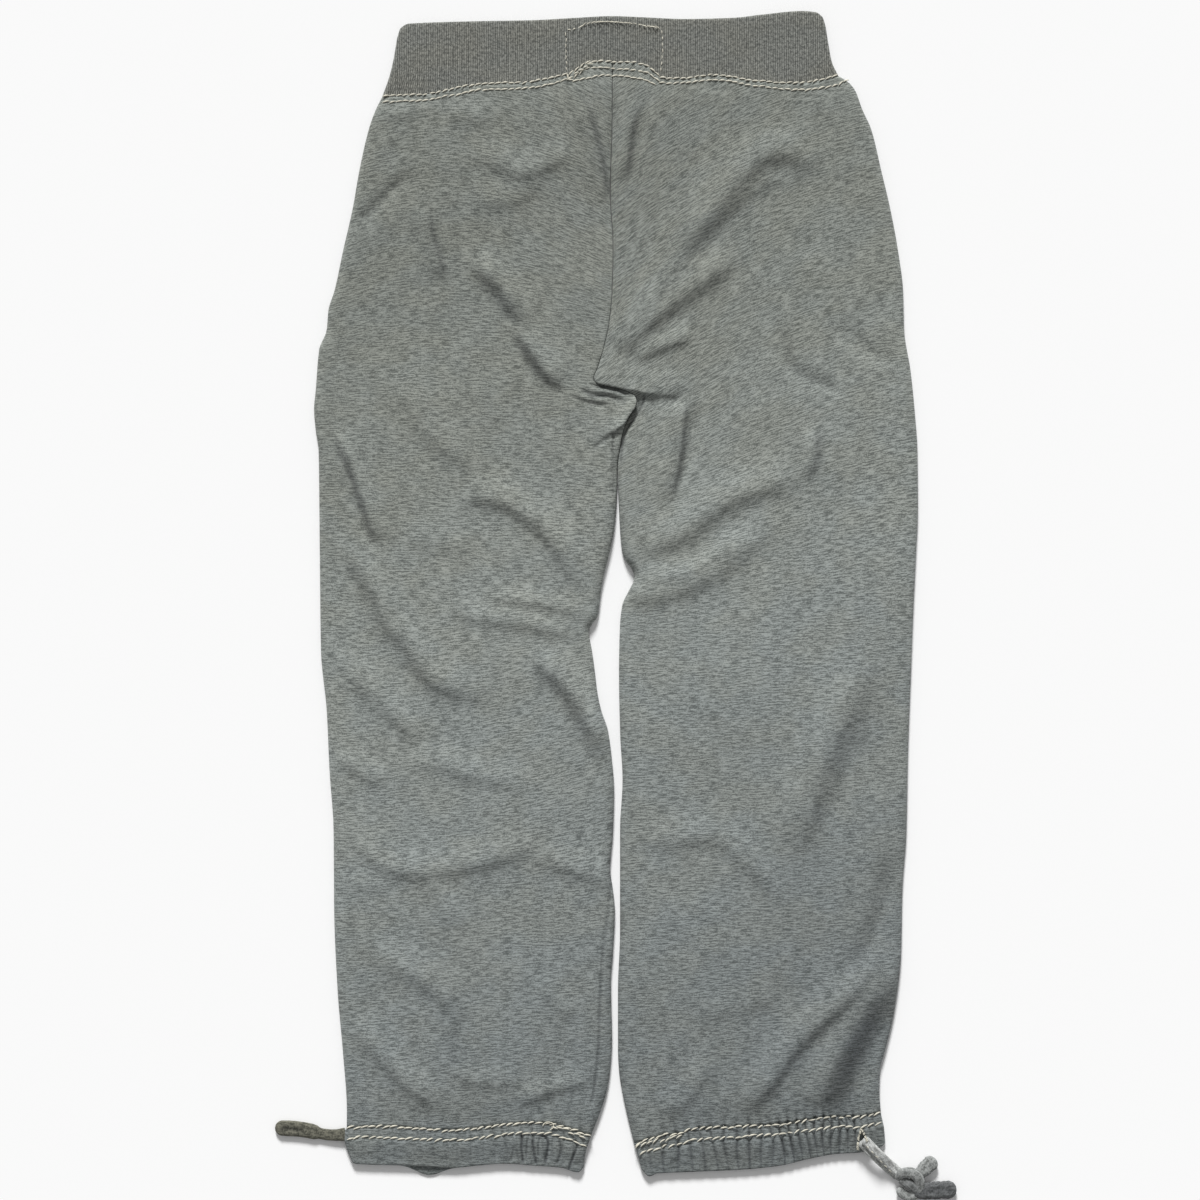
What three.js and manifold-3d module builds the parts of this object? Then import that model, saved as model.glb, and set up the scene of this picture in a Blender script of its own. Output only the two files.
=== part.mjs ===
// Jogger sweatpants laid flat with the back side up, in millimetres.
// +X is to the right, +Y towards the waist, +Z up from the surface that they lie on.
// The front panels lie on the surface, the back panels lie on the front panels, and both are
// closed by a ribbed waistband at the top and by two gathered hem casings at the bottom.
import * as THREE from "three";
import { mergeVertices } from "three/addons/utils/BufferGeometryUtils.js";
import Module from "manifold-3d";

// Driving dimensions
const CLOTH = 2.0; // one layer of brushed sweatshirt knit
const SEAM_GAP = 0.3; // between pieces that are sewn together
const SIDE_SEAM_Z = 2.2; // where the front panel's edge meets the back panel's
const BACK_TOP_Z = 7.2; // outside of the back panel where no fold lifts it
const EDGE_ROLL = 9; // how far in from the edge the cloth rolls over
const LOWEST_RELIEF = -2.5; // a hollow can't press through the front panel
const WAVE = { height: 0.5, wide: 31, long: 57 }; // slow unevenness of cloth that lies loose
const BAND = { height: 6.6, wall: 2.9, roll: 3.2, ribPitch: 1.93, ribDepth: 0.45 };
const HEM = { height: 7.2, wall: 3.2, roll: 3.4, gathers: 22, gatherDepth: 0.9 };
const LEFT_CORD = { width: 10.5, thick: 4.2 }; // flat drawcords sewn from the same cloth
const RIGHT_CORD = { width: 7, thick: 2.6 };
const SLIT = { x: 213.5, y: -473, length: 13, width: 3.2, lean: 0.12 }; // buttonhole, right hem
const CLOTH_GREY = 0x8b8e8a;
const RIB_GREY = 0x74756f;
const CORD_GREY = 0x72716a;

// Outlines, from the waist seam down to the hem seam
const OUTER_LEFT = [
  { y: 432, x: -203 }, { y: 420, x: -209 }, { y: 403, x: -215 }, { y: 368, x: -223 },
  { y: 334, x: -229 }, { y: 299, x: -237 }, { y: 264, x: -244.5 }, { y: 246, x: -250 },
  { y: 229, x: -251.5 }, { y: 212, x: -258 }, { y: 177, x: -261 }, { y: 160, x: -262.5 },
  { y: 142, x: -261 }, { y: 125, x: -258.5 }, { y: 38, x: -257.5 }, { y: -49, x: -256.5 },
  { y: -101, x: -251.5 }, { y: -154, x: -249 }, { y: -206, x: -245.5 }, { y: -275, x: -245 },
  { y: -345, x: -242 }, { y: -397, x: -237.5 }, { y: -449, x: -234 }, { y: -470, x: -234 },
];
const OUTER_RIGHT = [
  { y: 450, x: 193 }, { y: 444, x: 202.5 }, { y: 437, x: 208 }, { y: 421, x: 214 },
  { y: 403, x: 222 }, { y: 368, x: 230.5 }, { y: 334, x: 238.5 }, { y: 299, x: 245 },
  { y: 264, x: 249.5 }, { y: 229, x: 250.5 }, { y: 194, x: 256 }, { y: 160, x: 259.5 },
  { y: 125, x: 262 }, { y: 73, x: 262.5 }, { y: 38, x: 261 }, { y: -14, x: 258.5 },
  { y: -67, x: 256.5 }, { y: -136, x: 254 }, { y: -206, x: 252.5 }, { y: -258, x: 249 },
  { y: -310, x: 248 }, { y: -362, x: 242 }, { y: -397, x: 234 }, { y: -415, x: 229.5 },
  { y: -432, x: 229 }, { y: -455, x: 230.5 },
];
// The centre seam down to the crotch, then the inside of each leg
const CROTCH_Y = 93;
const CROTCH_BLEND = 55; // over this height the centre seam turns into two rolled edges
const CENTRE_SEAM = [
  { y: 465, x: -3 }, { y: 400, x: -3.5 }, { y: 350, x: -5 }, { y: 300, x: -2.5 },
  { y: 260, x: -3.5 }, { y: 235, x: -6 }, { y: 212, x: -11 }, { y: 190, x: -13 },
  { y: 170, x: -6 }, { y: 150, x: 1 }, { y: 130, x: 3 }, { y: 93, x: 1.3 },
];
const INNER_LEFT = [
  { y: 93, x: 1.1 }, { y: 73, x: 0 }, { y: 55, x: -1.7 }, { y: 38, x: -5 },
  { y: 20, x: -9.6 }, { y: 3, x: -13 }, { y: -14, x: -15 }, { y: -21, x: -16.5 },
  { y: -28, x: -22 }, { y: -34, x: -23.5 }, { y: -49, x: -21 }, { y: -67, x: -18.5 },
  { y: -84, x: -16.5 }, { y: -101, x: -13 }, { y: -119, x: -7 }, { y: -136, x: -4.5 },
  { y: -171, x: -1.7 }, { y: -206, x: -2.6 }, { y: -239, x: -5 }, { y: -258, x: -2.6 },
  { y: -275, x: -1 }, { y: -310, x: -2.6 }, { y: -336, x: -4.4 }, { y: -388, x: -3.5 },
  { y: -415, x: -5.2 }, { y: -432, x: -8 }, { y: -449, x: -13 }, { y: -472, x: -22 },
];
const INNER_RIGHT = [
  { y: 93, x: 1.6 }, { y: 73, x: 2.6 }, { y: 55, x: 3.5 }, { y: 38, x: 5 },
  { y: 29, x: 8 }, { y: 20, x: 14.5 }, { y: 15, x: 16 }, { y: 10, x: 15 },
  { y: 2, x: 11 }, { y: -10, x: 5.5 }, { y: -27, x: 3.5 }, { y: -67, x: 2.6 },
  { y: -119, x: 3.5 }, { y: -162, x: 5.7 }, { y: -206, x: 3.5 }, { y: -293, x: 3.5 },
  { y: -345, x: 1.7 }, { y: -397, x: 1.7 }, { y: -415, x: 2.6 }, { y: -432, x: 5.2 },
  { y: -449, x: 8.7 }, { y: -479, x: 16 },
];
// Seam lines and edges that run across
const WAIST_SEAM = [
  { x: -203, y: 432 }, { x: -165, y: 433.5 }, { x: -139, y: 439 }, { x: -115, y: 442.5 },
  { x: -83, y: 443.5 }, { x: -57, y: 447.5 }, { x: -42, y: 451 }, { x: -32, y: 456.5 },
  { x: -22, y: 462 }, { x: -3, y: 461.5 }, { x: 21, y: 460 }, { x: 31, y: 455.5 },
  { x: 40, y: 447.5 }, { x: 61, y: 447.5 }, { x: 88, y: 450 }, { x: 114, y: 446 },
  { x: 141, y: 443.5 }, { x: 167, y: 444 }, { x: 193, y: 450 },
];
const BAND_TOP = [
  { x: -190, y: 484 }, { x: -187, y: 491 }, { x: -180, y: 495 }, { x: -125, y: 497 },
  { x: -72, y: 498 }, { x: -35, y: 500 }, { x: -3, y: 501.5 }, { x: 23, y: 500.5 },
  { x: 61, y: 499 }, { x: 101, y: 500 }, { x: 128, y: 503 }, { x: 162, y: 506 },
  { x: 173, y: 505 }, { x: 179, y: 501 }, { x: 182, y: 494 },
];
const BAND_LEFT = [{ y: 484, x: -190 }, { y: 463, x: -193.5 }, { y: 447, x: -197.5 }, { y: 432, x: -203 }];
const BAND_RIGHT = [{ y: 494, x: 182 }, { y: 476, x: 185 }, { y: 461, x: 188 }, { y: 450, x: 193 }];
const LEFT_HEM = {
  seam: [
    { x: -234, y: -464 }, { x: -212, y: -463 }, { x: -185, y: -463.5 }, { x: -154, y: -466 },
    { x: -128, y: -465 }, { x: -105, y: -462.5 }, { x: -79, y: -460 }, { x: -59, y: -460 },
    { x: -43.5, y: -464 }, { x: -21.5, y: -471 },
  ],
  edge: [
    { x: -234, y: -487 }, { x: -228, y: -495.5 }, { x: -208, y: -496.5 }, { x: -188, y: -497 },
    { x: -141, y: -499 }, { x: -118, y: -497 }, { x: -97, y: -495.5 }, { x: -74, y: -497 },
    { x: -48, y: -499 }, { x: -33, y: -503 }, { x: -28, y: -499 },
  ],
  sides: [
    { t: 0, left: -234, right: -21.5 }, { t: 0.5, left: -235, right: -26 },
    { t: 1, left: -229, right: -28 },
  ],
  lobe: { x: -163, halfWidth: 25, depth: 7.5 }, // the front of the hem sags out from under the back
};
const RIGHT_HEM = {
  seam: [
    { x: 15.5, y: -478 }, { x: 39, y: -471 }, { x: 57.5, y: -468.5 }, { x: 75, y: -464 },
    { x: 104, y: -463 }, { x: 134, y: -461.5 }, { x: 161, y: -458 }, { x: 186, y: -454.5 },
    { x: 210, y: -454.5 }, { x: 230, y: -451 },
  ],
  edge: [
    { x: 22, y: -500.5 }, { x: 29, y: -506.5 }, { x: 36, y: -504 }, { x: 70, y: -502.5 },
    { x: 112, y: -500.5 }, { x: 144, y: -497 }, { x: 165, y: -492 }, { x: 192, y: -487 },
    { x: 210, y: -486 }, { x: 229, y: -481.5 }, { x: 234, y: -478 },
  ],
  sides: [
    { t: 0, left: 15.5, right: 230 }, { t: 0.5, left: 19, right: 233 }, { t: 1, left: 22, right: 234 },
  ],
  lobe: { x: 100, halfWidth: 60, depth: 0 },
};

// Folds of the back panels: a smooth line through three places, with the fold's half-width and
// its height above the cloth around it, which is negative in a crease
const FOLDS = [
  { x0: -231, y0: 306, x1: -192, y1: 336, x2: -158, y2: 352, half: 11, height: 2.4 },
  { x0: -233, y0: 330, x1: -206, y1: 358, x2: -172, y2: 372, half: 10, height: -1.8 },
  { x0: -160, y0: 338, x1: -157, y1: 307, x2: -148, y2: 274, half: 7, height: -1.4 },
  { x0: -115, y0: 288, x1: -80, y1: 238, x2: -41, y2: 174, half: 10, height: -2.4 },
  { x0: -98, y0: 292, x1: -58, y1: 240, x2: -26, y2: 190, half: 14, height: 2.6 },
  { x0: -34, y0: 430, x1: -23, y1: 403, x2: -16, y2: 372, half: 5, height: -2.0 },
  { x0: 22, y0: 421, x1: 10, y1: 395, x2: 5, y2: 362, half: 5, height: -2.0 },
  { x0: -6, y0: 440, x1: -6, y1: 395, x2: -5, y2: 350, half: 10, height: 1.4 },
  { x0: 145, y0: 360, x1: 68, y1: 318, x2: 20, y2: 288, half: 12, height: -2.2 },
  { x0: 128, y0: 340, x1: 78, y1: 294, x2: 12, y2: 252, half: 13, height: 2.6 },
  { x0: 113, y0: 316, x1: 76, y1: 262, x2: 20, y2: 228, half: 12, height: -2.4 },
  { x0: 102, y0: 286, x1: 66, y1: 236, x2: 30, y2: 212, half: 12, height: 1.8 },
  { x0: 149, y0: 235, x1: 151, y1: 216, x2: 158, y2: 198, half: 8, height: -1.2 },
  { x0: 178, y0: 147, x1: 162, y1: 106, x2: 95, y2: 77, half: 12, height: -1.6 },
  { x0: 8, y0: 33, x1: 70, y1: 34, x2: 160, y2: 90, half: 11, height: -2.4 },
  { x0: 15, y0: 15, x1: 66, y1: 16, x2: 130, y2: 64, half: 11, height: 3.2 },
  { x0: 5, y0: -8, x1: 58, y1: 0, x2: 150, y2: 68, half: 12, height: -2.4 },
  { x0: -249, y0: 137, x1: -230, y1: 99, x2: -205, y2: 38, half: 6, height: -2.2 },
  { x0: -251, y0: 44, x1: -214, y1: 3, x2: -166, y2: -75, half: 11, height: -2.4 },
  { x0: -238, y0: 58, x1: -196, y1: 8, x2: -146, y2: -66, half: 14, height: 1.8 },
  { x0: -115, y0: 80, x1: -59, y1: 56, x2: -29, y2: 1, half: 10, height: -2.4 },
  { x0: -108, y0: 97, x1: -46, y1: 70, x2: -18, y2: 16, half: 12, height: 1.8 },
  { x0: -115, y0: -6, x1: -53, y1: -9, x2: -23, y2: -27, half: 9, height: -2.4 },
  { x0: -118, y0: -27, x1: -62, y1: -30, x2: -24, y2: -44, half: 12, height: 1.8 },
  { x0: -71, y0: -53, x1: -44, y1: -79, x2: -15, y2: -112, half: 9, height: -2.4 },
  { x0: -152, y0: -10, x1: -132, y1: 2, x2: -113, y2: 17, half: 11, height: -1.6 },
  { x0: -218, y0: -230, x1: -164, y1: -258, x2: -80, y2: -222, half: 9, height: -2.0 },
  { x0: -210, y0: -212, x1: -160, y1: -238, x2: -84, y2: -203, half: 12, height: 1.6 },
  { x0: -175, y0: -331, x1: -146, y1: -354, x2: -130, y2: -389, half: 13, height: -1.6 },
  { x0: -231, y0: -380, x1: -197, y1: -415, x2: -177, y2: -440, half: 9, height: -2.0 },
  { x0: -101, y0: -441, x1: -66, y1: -430, x2: -26, y2: -427, half: 8, height: -1.6 },
  { x0: 224, y0: -44, x1: 203, y1: -98, x2: 158, y2: -206, half: 14, height: -1.6 },
  { x0: 247, y0: -322, x1: 214, y1: -352, x2: 150, y2: -398, half: 11, height: 2.4 },
  { x0: 250, y0: -334, x1: 224, y1: -366, x2: 203, y2: -440, half: 11, height: -2.4 },
  { x0: 178, y0: -362, x1: 148, y1: -406, x2: 112, y2: -451, half: 10, height: -2.0 },
];
// Lips at the crotch, where the cloth is pinched: high on one side, with a drop on the other.
// The high side is on the left of the way from the first place to the last.
const LIPS = [
  { x0: -18, y0: 182, x1: 16, y1: 176.5, x2: 60, y2: 170.5, high: 24, drop: 4, height: 4.4 },
  { x0: -8, y0: 134, x1: 15, y1: 158, x2: 12, y2: 175, high: 20, drop: 4, height: 3.0 },
  { x0: 54, y0: 109, x1: 57, y1: 138, x2: 60, y2: 170, high: 22, drop: 5, height: 3.2 },
];

// Routes of the drawcords: out of the left hem, and two strands out of the right hem's buttonhole
// which cross its edge, come down and end at the knot
const LEFT_ROUTE = [
  { x: -234.8, y: -470.0, z: 3.4 }, { x: -243, y: -470.7, z: 3.0 }, { x: -251, y: -470.4, z: 2.6 },
  { x: -259, y: -469.0, z: 2.4 }, { x: -267, y: -467.0, z: 2.3 }, { x: -277, y: -465.5, z: 2.3 },
  { x: -287, y: -464.9, z: 2.3 }, { x: -296.5, y: -464.6, z: 2.3 },
];
const LOWER_ROUTE = [
  { x: 212.0, y: -475.0, z: 8.8 }, { x: 217, y: -480.4, z: 8.8 }, { x: 222.4, y: -485.9, z: 8.8 },
  { x: 227.5, y: -490.9, z: 7.2 }, { x: 232.5, y: -495.8, z: 4.4 }, { x: 237.6, y: -500.6, z: 2.2 },
  { x: 245.7, y: -507.5, z: 1.6 },
];
const UPPER_ROUTE = [
  { x: 214.4, y: -472.2, z: 11.7 }, { x: 219.4, y: -477.6, z: 11.7 }, { x: 224.8, y: -483.1, z: 11.7 },
  { x: 230.6, y: -488.8, z: 10.2 }, { x: 236, y: -494, z: 7.4 }, { x: 240.6, y: -498.4, z: 5.6 },
  { x: 246.8, y: -503.9, z: 5.2 },
];
// The knot and the two rounded cord ends that stick out of it
const KNOT = [
  { x: 254.5, y: -514, length: 25, width: 21, thick: 10, turn: 0 },
  { x: 268.3, y: -499.6, length: 27, width: 13, thick: 6.6, turn: -50 },
  { x: 276.2, y: -519, length: 41, width: 15.4, thick: 6.8, turn: -90 },
];

// Sampling of the panels
const BACK_ROWS = [
  { from: 455, to: 240, steps: 10 }, { from: 240, to: 95, steps: 12 }, { from: 95, to: -60, steps: 10 },
  { from: -60, to: -400, steps: 11 }, { from: -400, to: -465, steps: 3 },
];
const FRONT_ROWS = [
  { from: 455, to: 95, steps: 7 }, { from: 95, to: -60, steps: 7 }, { from: -60, to: -465, steps: 8 },
];
const WAIST_SHARE = 0.16; // of a panel's height, over which its rows bend to the waist seam
const HEM_SHARE = 0.1;
const SEAM_SHARE = 0.05; // over which the folds die out at a seam
const ROLL_ANGLES = [0, 30, 60, 90]; // places round the rolled edge, in degrees
const SEAM_TRIES = 6; // to find where a column meets a slanted seam
const FOLD_STEPS = 12; // along a fold's line
const CORD_SIDES = 10;
const ROUND_SIDES = 14; // of a knot or a cord end
const CORD_LIFT = 0.2; // the cords lie just clear of the surface
const ROLL_POINTS = 6; // round each end of a flattened tube
const FULL_TURN = 4; // upper side, right end, lower side, left end
const BACK_COLUMNS = 11; // between the two rolled edges
const FRONT_COLUMNS = 4;

const lerp = (a, b, t) => a + (b - a) * t;
const clamp = (v, low, high) => Math.min(Math.max(v, low), high);
const smooth = (v, low, high) => {
  const t = clamp((v - low) / (high - low), 0, 1);
  return t * t * (3 - 2 * t);
};

// A smooth line through a table's rows that never runs past them
function curve(rows, from, to) {
  const sorted = [...rows].sort((a, b) => a[from] - b[from]);
  const at = sorted.map((row) => row[from]);
  const value = sorted.map((row) => row[to]);
  const rise = at.slice(1).map((a, i) => (value[i + 1] - value[i]) / (a - at[i]));
  const slope = value.map((_, i) => {
    if (i === 0) return rise[0];
    if (i === rise.length) return rise[i - 1];
    if (rise[i - 1] * rise[i] <= 0) return 0;
    return (2 * rise[i - 1] * rise[i]) / (rise[i - 1] + rise[i]);
  });
  return (position) => {
    const p = clamp(position, at[0], at[at.length - 1]);
    let i = 0;
    while (i < rise.length - 1 && p > at[i + 1]) i += 1;
    const span = at[i + 1] - at[i];
    const t = (p - at[i]) / span;
    const a = value[i] * (1 + 2 * t) * (1 - t) ** 2 + value[i + 1] * t * t * (3 - 2 * t);
    return a + span * (slope[i] * t * (1 - t) ** 2 - slope[i + 1] * t * t * (1 - t));
  };
}

// Straight steps between places on a smooth line, as the edge of a sampled panel has
function stepped(line, places) {
  return (x) => {
    let i = 0;
    while (i < places.length - 2 && x > places[i + 1]) i += 1;
    const t = clamp((x - places[i]) / (places[i + 1] - places[i]), 0, 1);
    return lerp(line(places[i]), line(places[i + 1]), t);
  };
}

// Nearest place of a fold's line: how far from it, how far along it, and on which side of it
function nearestOnFold(fold, x, y) {
  const best = { distance: Infinity, along: 0, side: 1 };
  const bendX = 2 * fold.x1 - (fold.x0 + fold.x2) / 2;
  const bendY = 2 * fold.y1 - (fold.y0 + fold.y2) / 2;
  let px = fold.x0;
  let py = fold.y0;
  for (let i = 1; i <= FOLD_STEPS; i += 1) {
    const t = i / FOLD_STEPS;
    const bow = 2 * t * (1 - t);
    const qx = fold.x0 * (1 - t) ** 2 + bendX * bow + fold.x2 * t * t;
    const qy = fold.y0 * (1 - t) ** 2 + bendY * bow + fold.y2 * t * t;
    const dx = qx - px;
    const dy = qy - py;
    const share = clamp(((x - px) * dx + (y - py) * dy) / (dx * dx + dy * dy), 0, 1);
    const ox = x - px - share * dx;
    const oy = y - py - share * dy;
    const distance = Math.hypot(ox, oy);
    if (distance < best.distance) {
      best.distance = distance;
      best.along = (i - 1 + share) / FOLD_STEPS;
      best.side = Math.sign(dx * oy - dy * ox) || 1;
    }
    px = qx;
    py = qy;
  }
  return best;
}

// Height of the folds above the plain cloth
function relief(x, y) {
  const { height, wide, long } = WAVE;
  let total = height * (Math.sin(x / wide + y / long) + Math.sin(y / wide - x / long));
  for (const fold of FOLDS) {
    const near = nearestOnFold(fold, x, y);
    const taper = Math.sin(Math.PI * clamp(near.along, 0.04, 0.96)) ** 0.6;
    total += fold.height * taper * Math.exp(-((near.distance / fold.half) ** 2));
  }
  for (const lip of LIPS) {
    const near = nearestOnFold(lip, x, y);
    const taper = Math.sin(Math.PI * clamp(near.along, 0.06, 0.94)) ** 0.5;
    const reach = near.side > 0 ? lip.high : lip.drop;
    total += lip.height * taper * Math.exp(-((near.distance / reach) ** 2));
  }
  return total < 0 ? LOWEST_RELIEF * Math.tanh(total / LOWEST_RELIEF) : total;
}

// Geometry from vertices and triangles given as plain lists
function geometryOf(vertices, triangles) {
  const geometry = new THREE.BufferGeometry();
  const positions = vertices.flatMap(([x, y, z]) => [x, y, z]);
  geometry.setAttribute("position", new THREE.Float32BufferAttribute(positions, 3));
  geometry.setIndex(triangles.flat());
  geometry.computeVertexNormals();
  return geometry;
}

function quad(triangles, a, b, c, d) {
  triangles.push([a, b, c], [a, c, d]);
}

// A wall between two grids of points of the same size, closed by a rim all round
function wallBetween(outer, inner) {
  const rows = outer.length;
  const columns = outer[0].length;
  const vertices = [...outer.flat(), ...inner.flat()];
  const out = (r, c) => r * columns + c;
  const inn = (r, c) => rows * columns + r * columns + c;
  const triangles = [];
  for (let r = 0; r < rows - 1; r += 1) {
    for (let c = 0; c < columns - 1; c += 1) {
      quad(triangles, out(r, c), out(r + 1, c), out(r + 1, c + 1), out(r, c + 1));
      quad(triangles, inn(r, c), inn(r, c + 1), inn(r + 1, c + 1), inn(r + 1, c));
    }
    quad(triangles, out(r, 0), inn(r, 0), inn(r + 1, 0), out(r + 1, 0));
    const last = columns - 1;
    quad(triangles, out(r, last), out(r + 1, last), inn(r + 1, last), inn(r, last));
  }
  for (let c = 0; c < columns - 1; c += 1) {
    quad(triangles, out(0, c), out(0, c + 1), inn(0, c + 1), inn(0, c));
    const last = rows - 1;
    quad(triangles, out(last, c), inn(last, c), inn(last, c + 1), out(last, c + 1));
  }
  return geometryOf(vertices, triangles);
}

// The two legs: outside edge, inside edge, waist seam and hem seam of each
const waistSeam = curve(WAIST_SEAM, "x", "y");
function legOf(side) {
  const left = side === "left";
  const outer = curve(left ? OUTER_LEFT : OUTER_RIGHT, "y", "x");
  const inside = curve(left ? INNER_LEFT : INNER_RIGHT, "y", "x");
  const centre = curve(CENTRE_SEAM, "y", "x");
  const gap = ((left ? -1 : 1) * SEAM_GAP) / 2;
  const inner = (y) => (y >= CROTCH_Y ? centre(y) + gap : inside(y));
  return { left, outer, inner, hemSeam: curve((left ? LEFT_HEM : RIGHT_HEM).seam, "x", "y") };
}
const LEGS = { left: legOf("left"), right: legOf("right") };

// Where each column lies across a leg: a share of the roll at one edge, then shares of the width
function columnsOf(count) {
  const rolled = ROLL_ANGLES.map((degrees) => THREE.MathUtils.degToRad(degrees));
  const plain = Array.from({ length: count }, (_, i) => (i + 1) / (count + 1));
  return [
    ...rolled.map((angle) => ({ edge: "outer", angle })),
    ...plain.map((share) => ({ edge: "none", share })),
    ...rolled.reverse().map((angle) => ({ edge: "inner", angle })),
  ];
}

function rowsOf(bands) {
  const rows = [bands[0].from];
  for (const band of bands) {
    for (let i = 1; i <= band.steps; i += 1) rows.push(lerp(band.from, band.to, i / band.steps));
  }
  return rows;
}

// The place of a column at a row, before the row is bent to the waist and hem seams
function acrossLeg(leg, y, column) {
  const outer = leg.outer(y);
  const inner = leg.inner(y);
  const roll = Math.sign(inner - outer) * EDGE_ROLL;
  if (column.edge === "outer") return outer + roll * (1 - Math.cos(column.angle));
  if (column.edge === "inner") return inner - roll * (1 - Math.cos(column.angle));
  return lerp(outer + roll, inner - roll, column.share);
}

// How far a column's inside lies from its outside, sideways
function shiftInward(leg, y, column, open) {
  if (column.edge === "none") return 0;
  const towards = Math.sign(leg.inner(y) - leg.outer(y)) * (column.edge === "inner" ? -1 : 1);
  return towards * CLOTH * Math.cos(column.angle) * open;
}

// How much a column's edge is rolled over: not at the centre seam, where the two legs are joined
const openAt = (column, y) =>
  column.edge === "inner" ? smooth(y, CROTCH_Y + CROTCH_BLEND, CROTCH_Y) : 1;

// Where each column meets the waist seam or the hem seam, on the cloth's outside and inside
function seamPlaces(leg, columns, seam, start) {
  const places = columns.map((column) => {
    let y = start;
    let x = 0;
    for (let i = 0; i < SEAM_TRIES; i += 1) {
      x = acrossLeg(leg, y, column);
      y = seam(x);
    }
    return { x, y, innerX: x + shiftInward(leg, y, column, openAt(column, y)) };
  });
  const xs = places.map((place) => place.x).sort((a, b) => a - b);
  const line = stepped(seam, xs);
  return places.map((place) => ({ ...place, innerY: line(place.innerX) }));
}

// A panel's places at every row and column, with how far each is rolled over the edge
function panelPlaces(leg, columns, rows) {
  const top = rows[0];
  const bottom = rows[rows.length - 1];
  const waist = seamPlaces(leg, columns, waistSeam, top);
  const hem = seamPlaces(leg, columns, leg.hemSeam, bottom);
  return rows.map((row) =>
    columns.map((column, c) => {
      const share = (top - row) / (top - bottom);
      const pull = smooth(share, WAIST_SHARE, 0);
      const drag = smooth(share, 1 - HEM_SHARE, 1);
      const bent = (waistY, hemY) =>
        row + pull * (waistY - SEAM_GAP / 2 - top) + drag * (hemY + SEAM_GAP / 2 - bottom);
      const y = bent(waist[c].y, hem[c].y);
      const x = acrossLeg(leg, y + (pull - drag) * (SEAM_GAP / 2), column);
      const open = openAt(column, y);
      const up = column.edge === "none" ? 1 : 1 - (1 - Math.sin(column.angle)) * open;
      const innerX = x + shiftInward(leg, y, column, open);
      return { x, y, innerX, innerY: bent(waist[c].innerY, hem[c].innerY), up, share };
    }),
  );
}

// The back panel's outside and inside at a place
function backPoint({ x, y, innerX, innerY, up, share }) {
  const nearBand = smooth(share, SEAM_SHARE, 0);
  const nearHem = smooth(share, 1 - SEAM_SHARE, 1);
  const top = BACK_TOP_Z + nearBand * (BAND.height - BACK_TOP_Z) + nearHem * (HEM.height - BACK_TOP_Z);
  const low = SIDE_SEAM_Z + SEAM_GAP;
  const fold = relief(x, y) * smooth(up, 0, 1) * (1 - nearBand) * (1 - nearHem);
  return {
    outer: [x, y, low + (top - low) * up + fold],
    inner: [innerX, innerY, low + (top - low - CLOTH) * up + fold],
  };
}

// The front panel's underside, which rests flat, and its upper side
function frontPoint({ x, y, innerX, innerY, up }) {
  return {
    outer: [x, y, SIDE_SEAM_Z * (1 - up)],
    inner: [innerX, innerY, lerp(SIDE_SEAM_Z, CLOTH, up)],
  };
}

function backPanel(leg) {
  const places = panelPlaces(leg, columnsOf(BACK_COLUMNS), rowsOf(BACK_ROWS));
  const points = places.map((row) => row.map(backPoint));
  const outer = points.map((row) => row.map((p) => p.outer));
  const inner = points.map((row) => row.map((p) => p.inner));
  return leg.left ? wallBetween(outer, inner) : wallBetween(inner, outer);
}

function frontPanel(leg) {
  const places = panelPlaces(leg, columnsOf(FRONT_COLUMNS), rowsOf(FRONT_ROWS));
  const points = places.map((row) => row.map(frontPoint));
  const outer = points.map((row) => row.map((p) => p.outer));
  const inner = points.map((row) => row.map((p) => p.inner));
  return leg.left ? wallBetween(inner, outer) : wallBetween(outer, inner);
}

// Rings joined into a tube with a wall. A point is x, y, z and its turn, which is how far round
// the ring it lies, so that the rims join outer and inner points that lie side by side.
function tubeOf(outerRings, innerRings) {
  const vertices = [...outerRings.flat(), ...innerRings.flat()];
  const n = outerRings[0].length;
  const m = innerRings[0].length;
  const offset = outerRings.length * n;
  const last = outerRings.length - 1;
  const triangles = [];
  const skin = (count, start, inward) => {
    for (let r = 0; r < last; r += 1) {
      for (let i = 0; i < count; i += 1) {
        const j = (i + 1) % count;
        const here = start + r * count;
        const next = here + count;
        if (inward) quad(triangles, here + i, next + i, next + j, here + j);
        else quad(triangles, here + i, here + j, next + j, next + i);
      }
    }
  };
  const rim = (outerStart, innerStart, flip) => {
    const turnAt = (ring, i) => (i < ring.length ? ring[i][3] : FULL_TURN);
    let i = 0;
    let j = 0;
    while (i < n || j < m) {
      const a = outerStart + (i % n);
      const b = innerStart + (j % m);
      const outerNext = i < n && (j >= m || turnAt(outerRings[0], i + 1) <= turnAt(innerRings[0], j + 1));
      const c = outerNext ? outerStart + ((i + 1) % n) : innerStart + ((j + 1) % m);
      triangles.push(flip ? [a, b, c] : [a, c, b]);
      if (outerNext) i += 1;
      else j += 1;
    }
  };
  skin(n, 0, false);
  skin(m, offset, true);
  rim(0, offset, true);
  rim(last * n, offset + last * m, false);
  return geometryOf(vertices, triangles);
}

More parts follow.
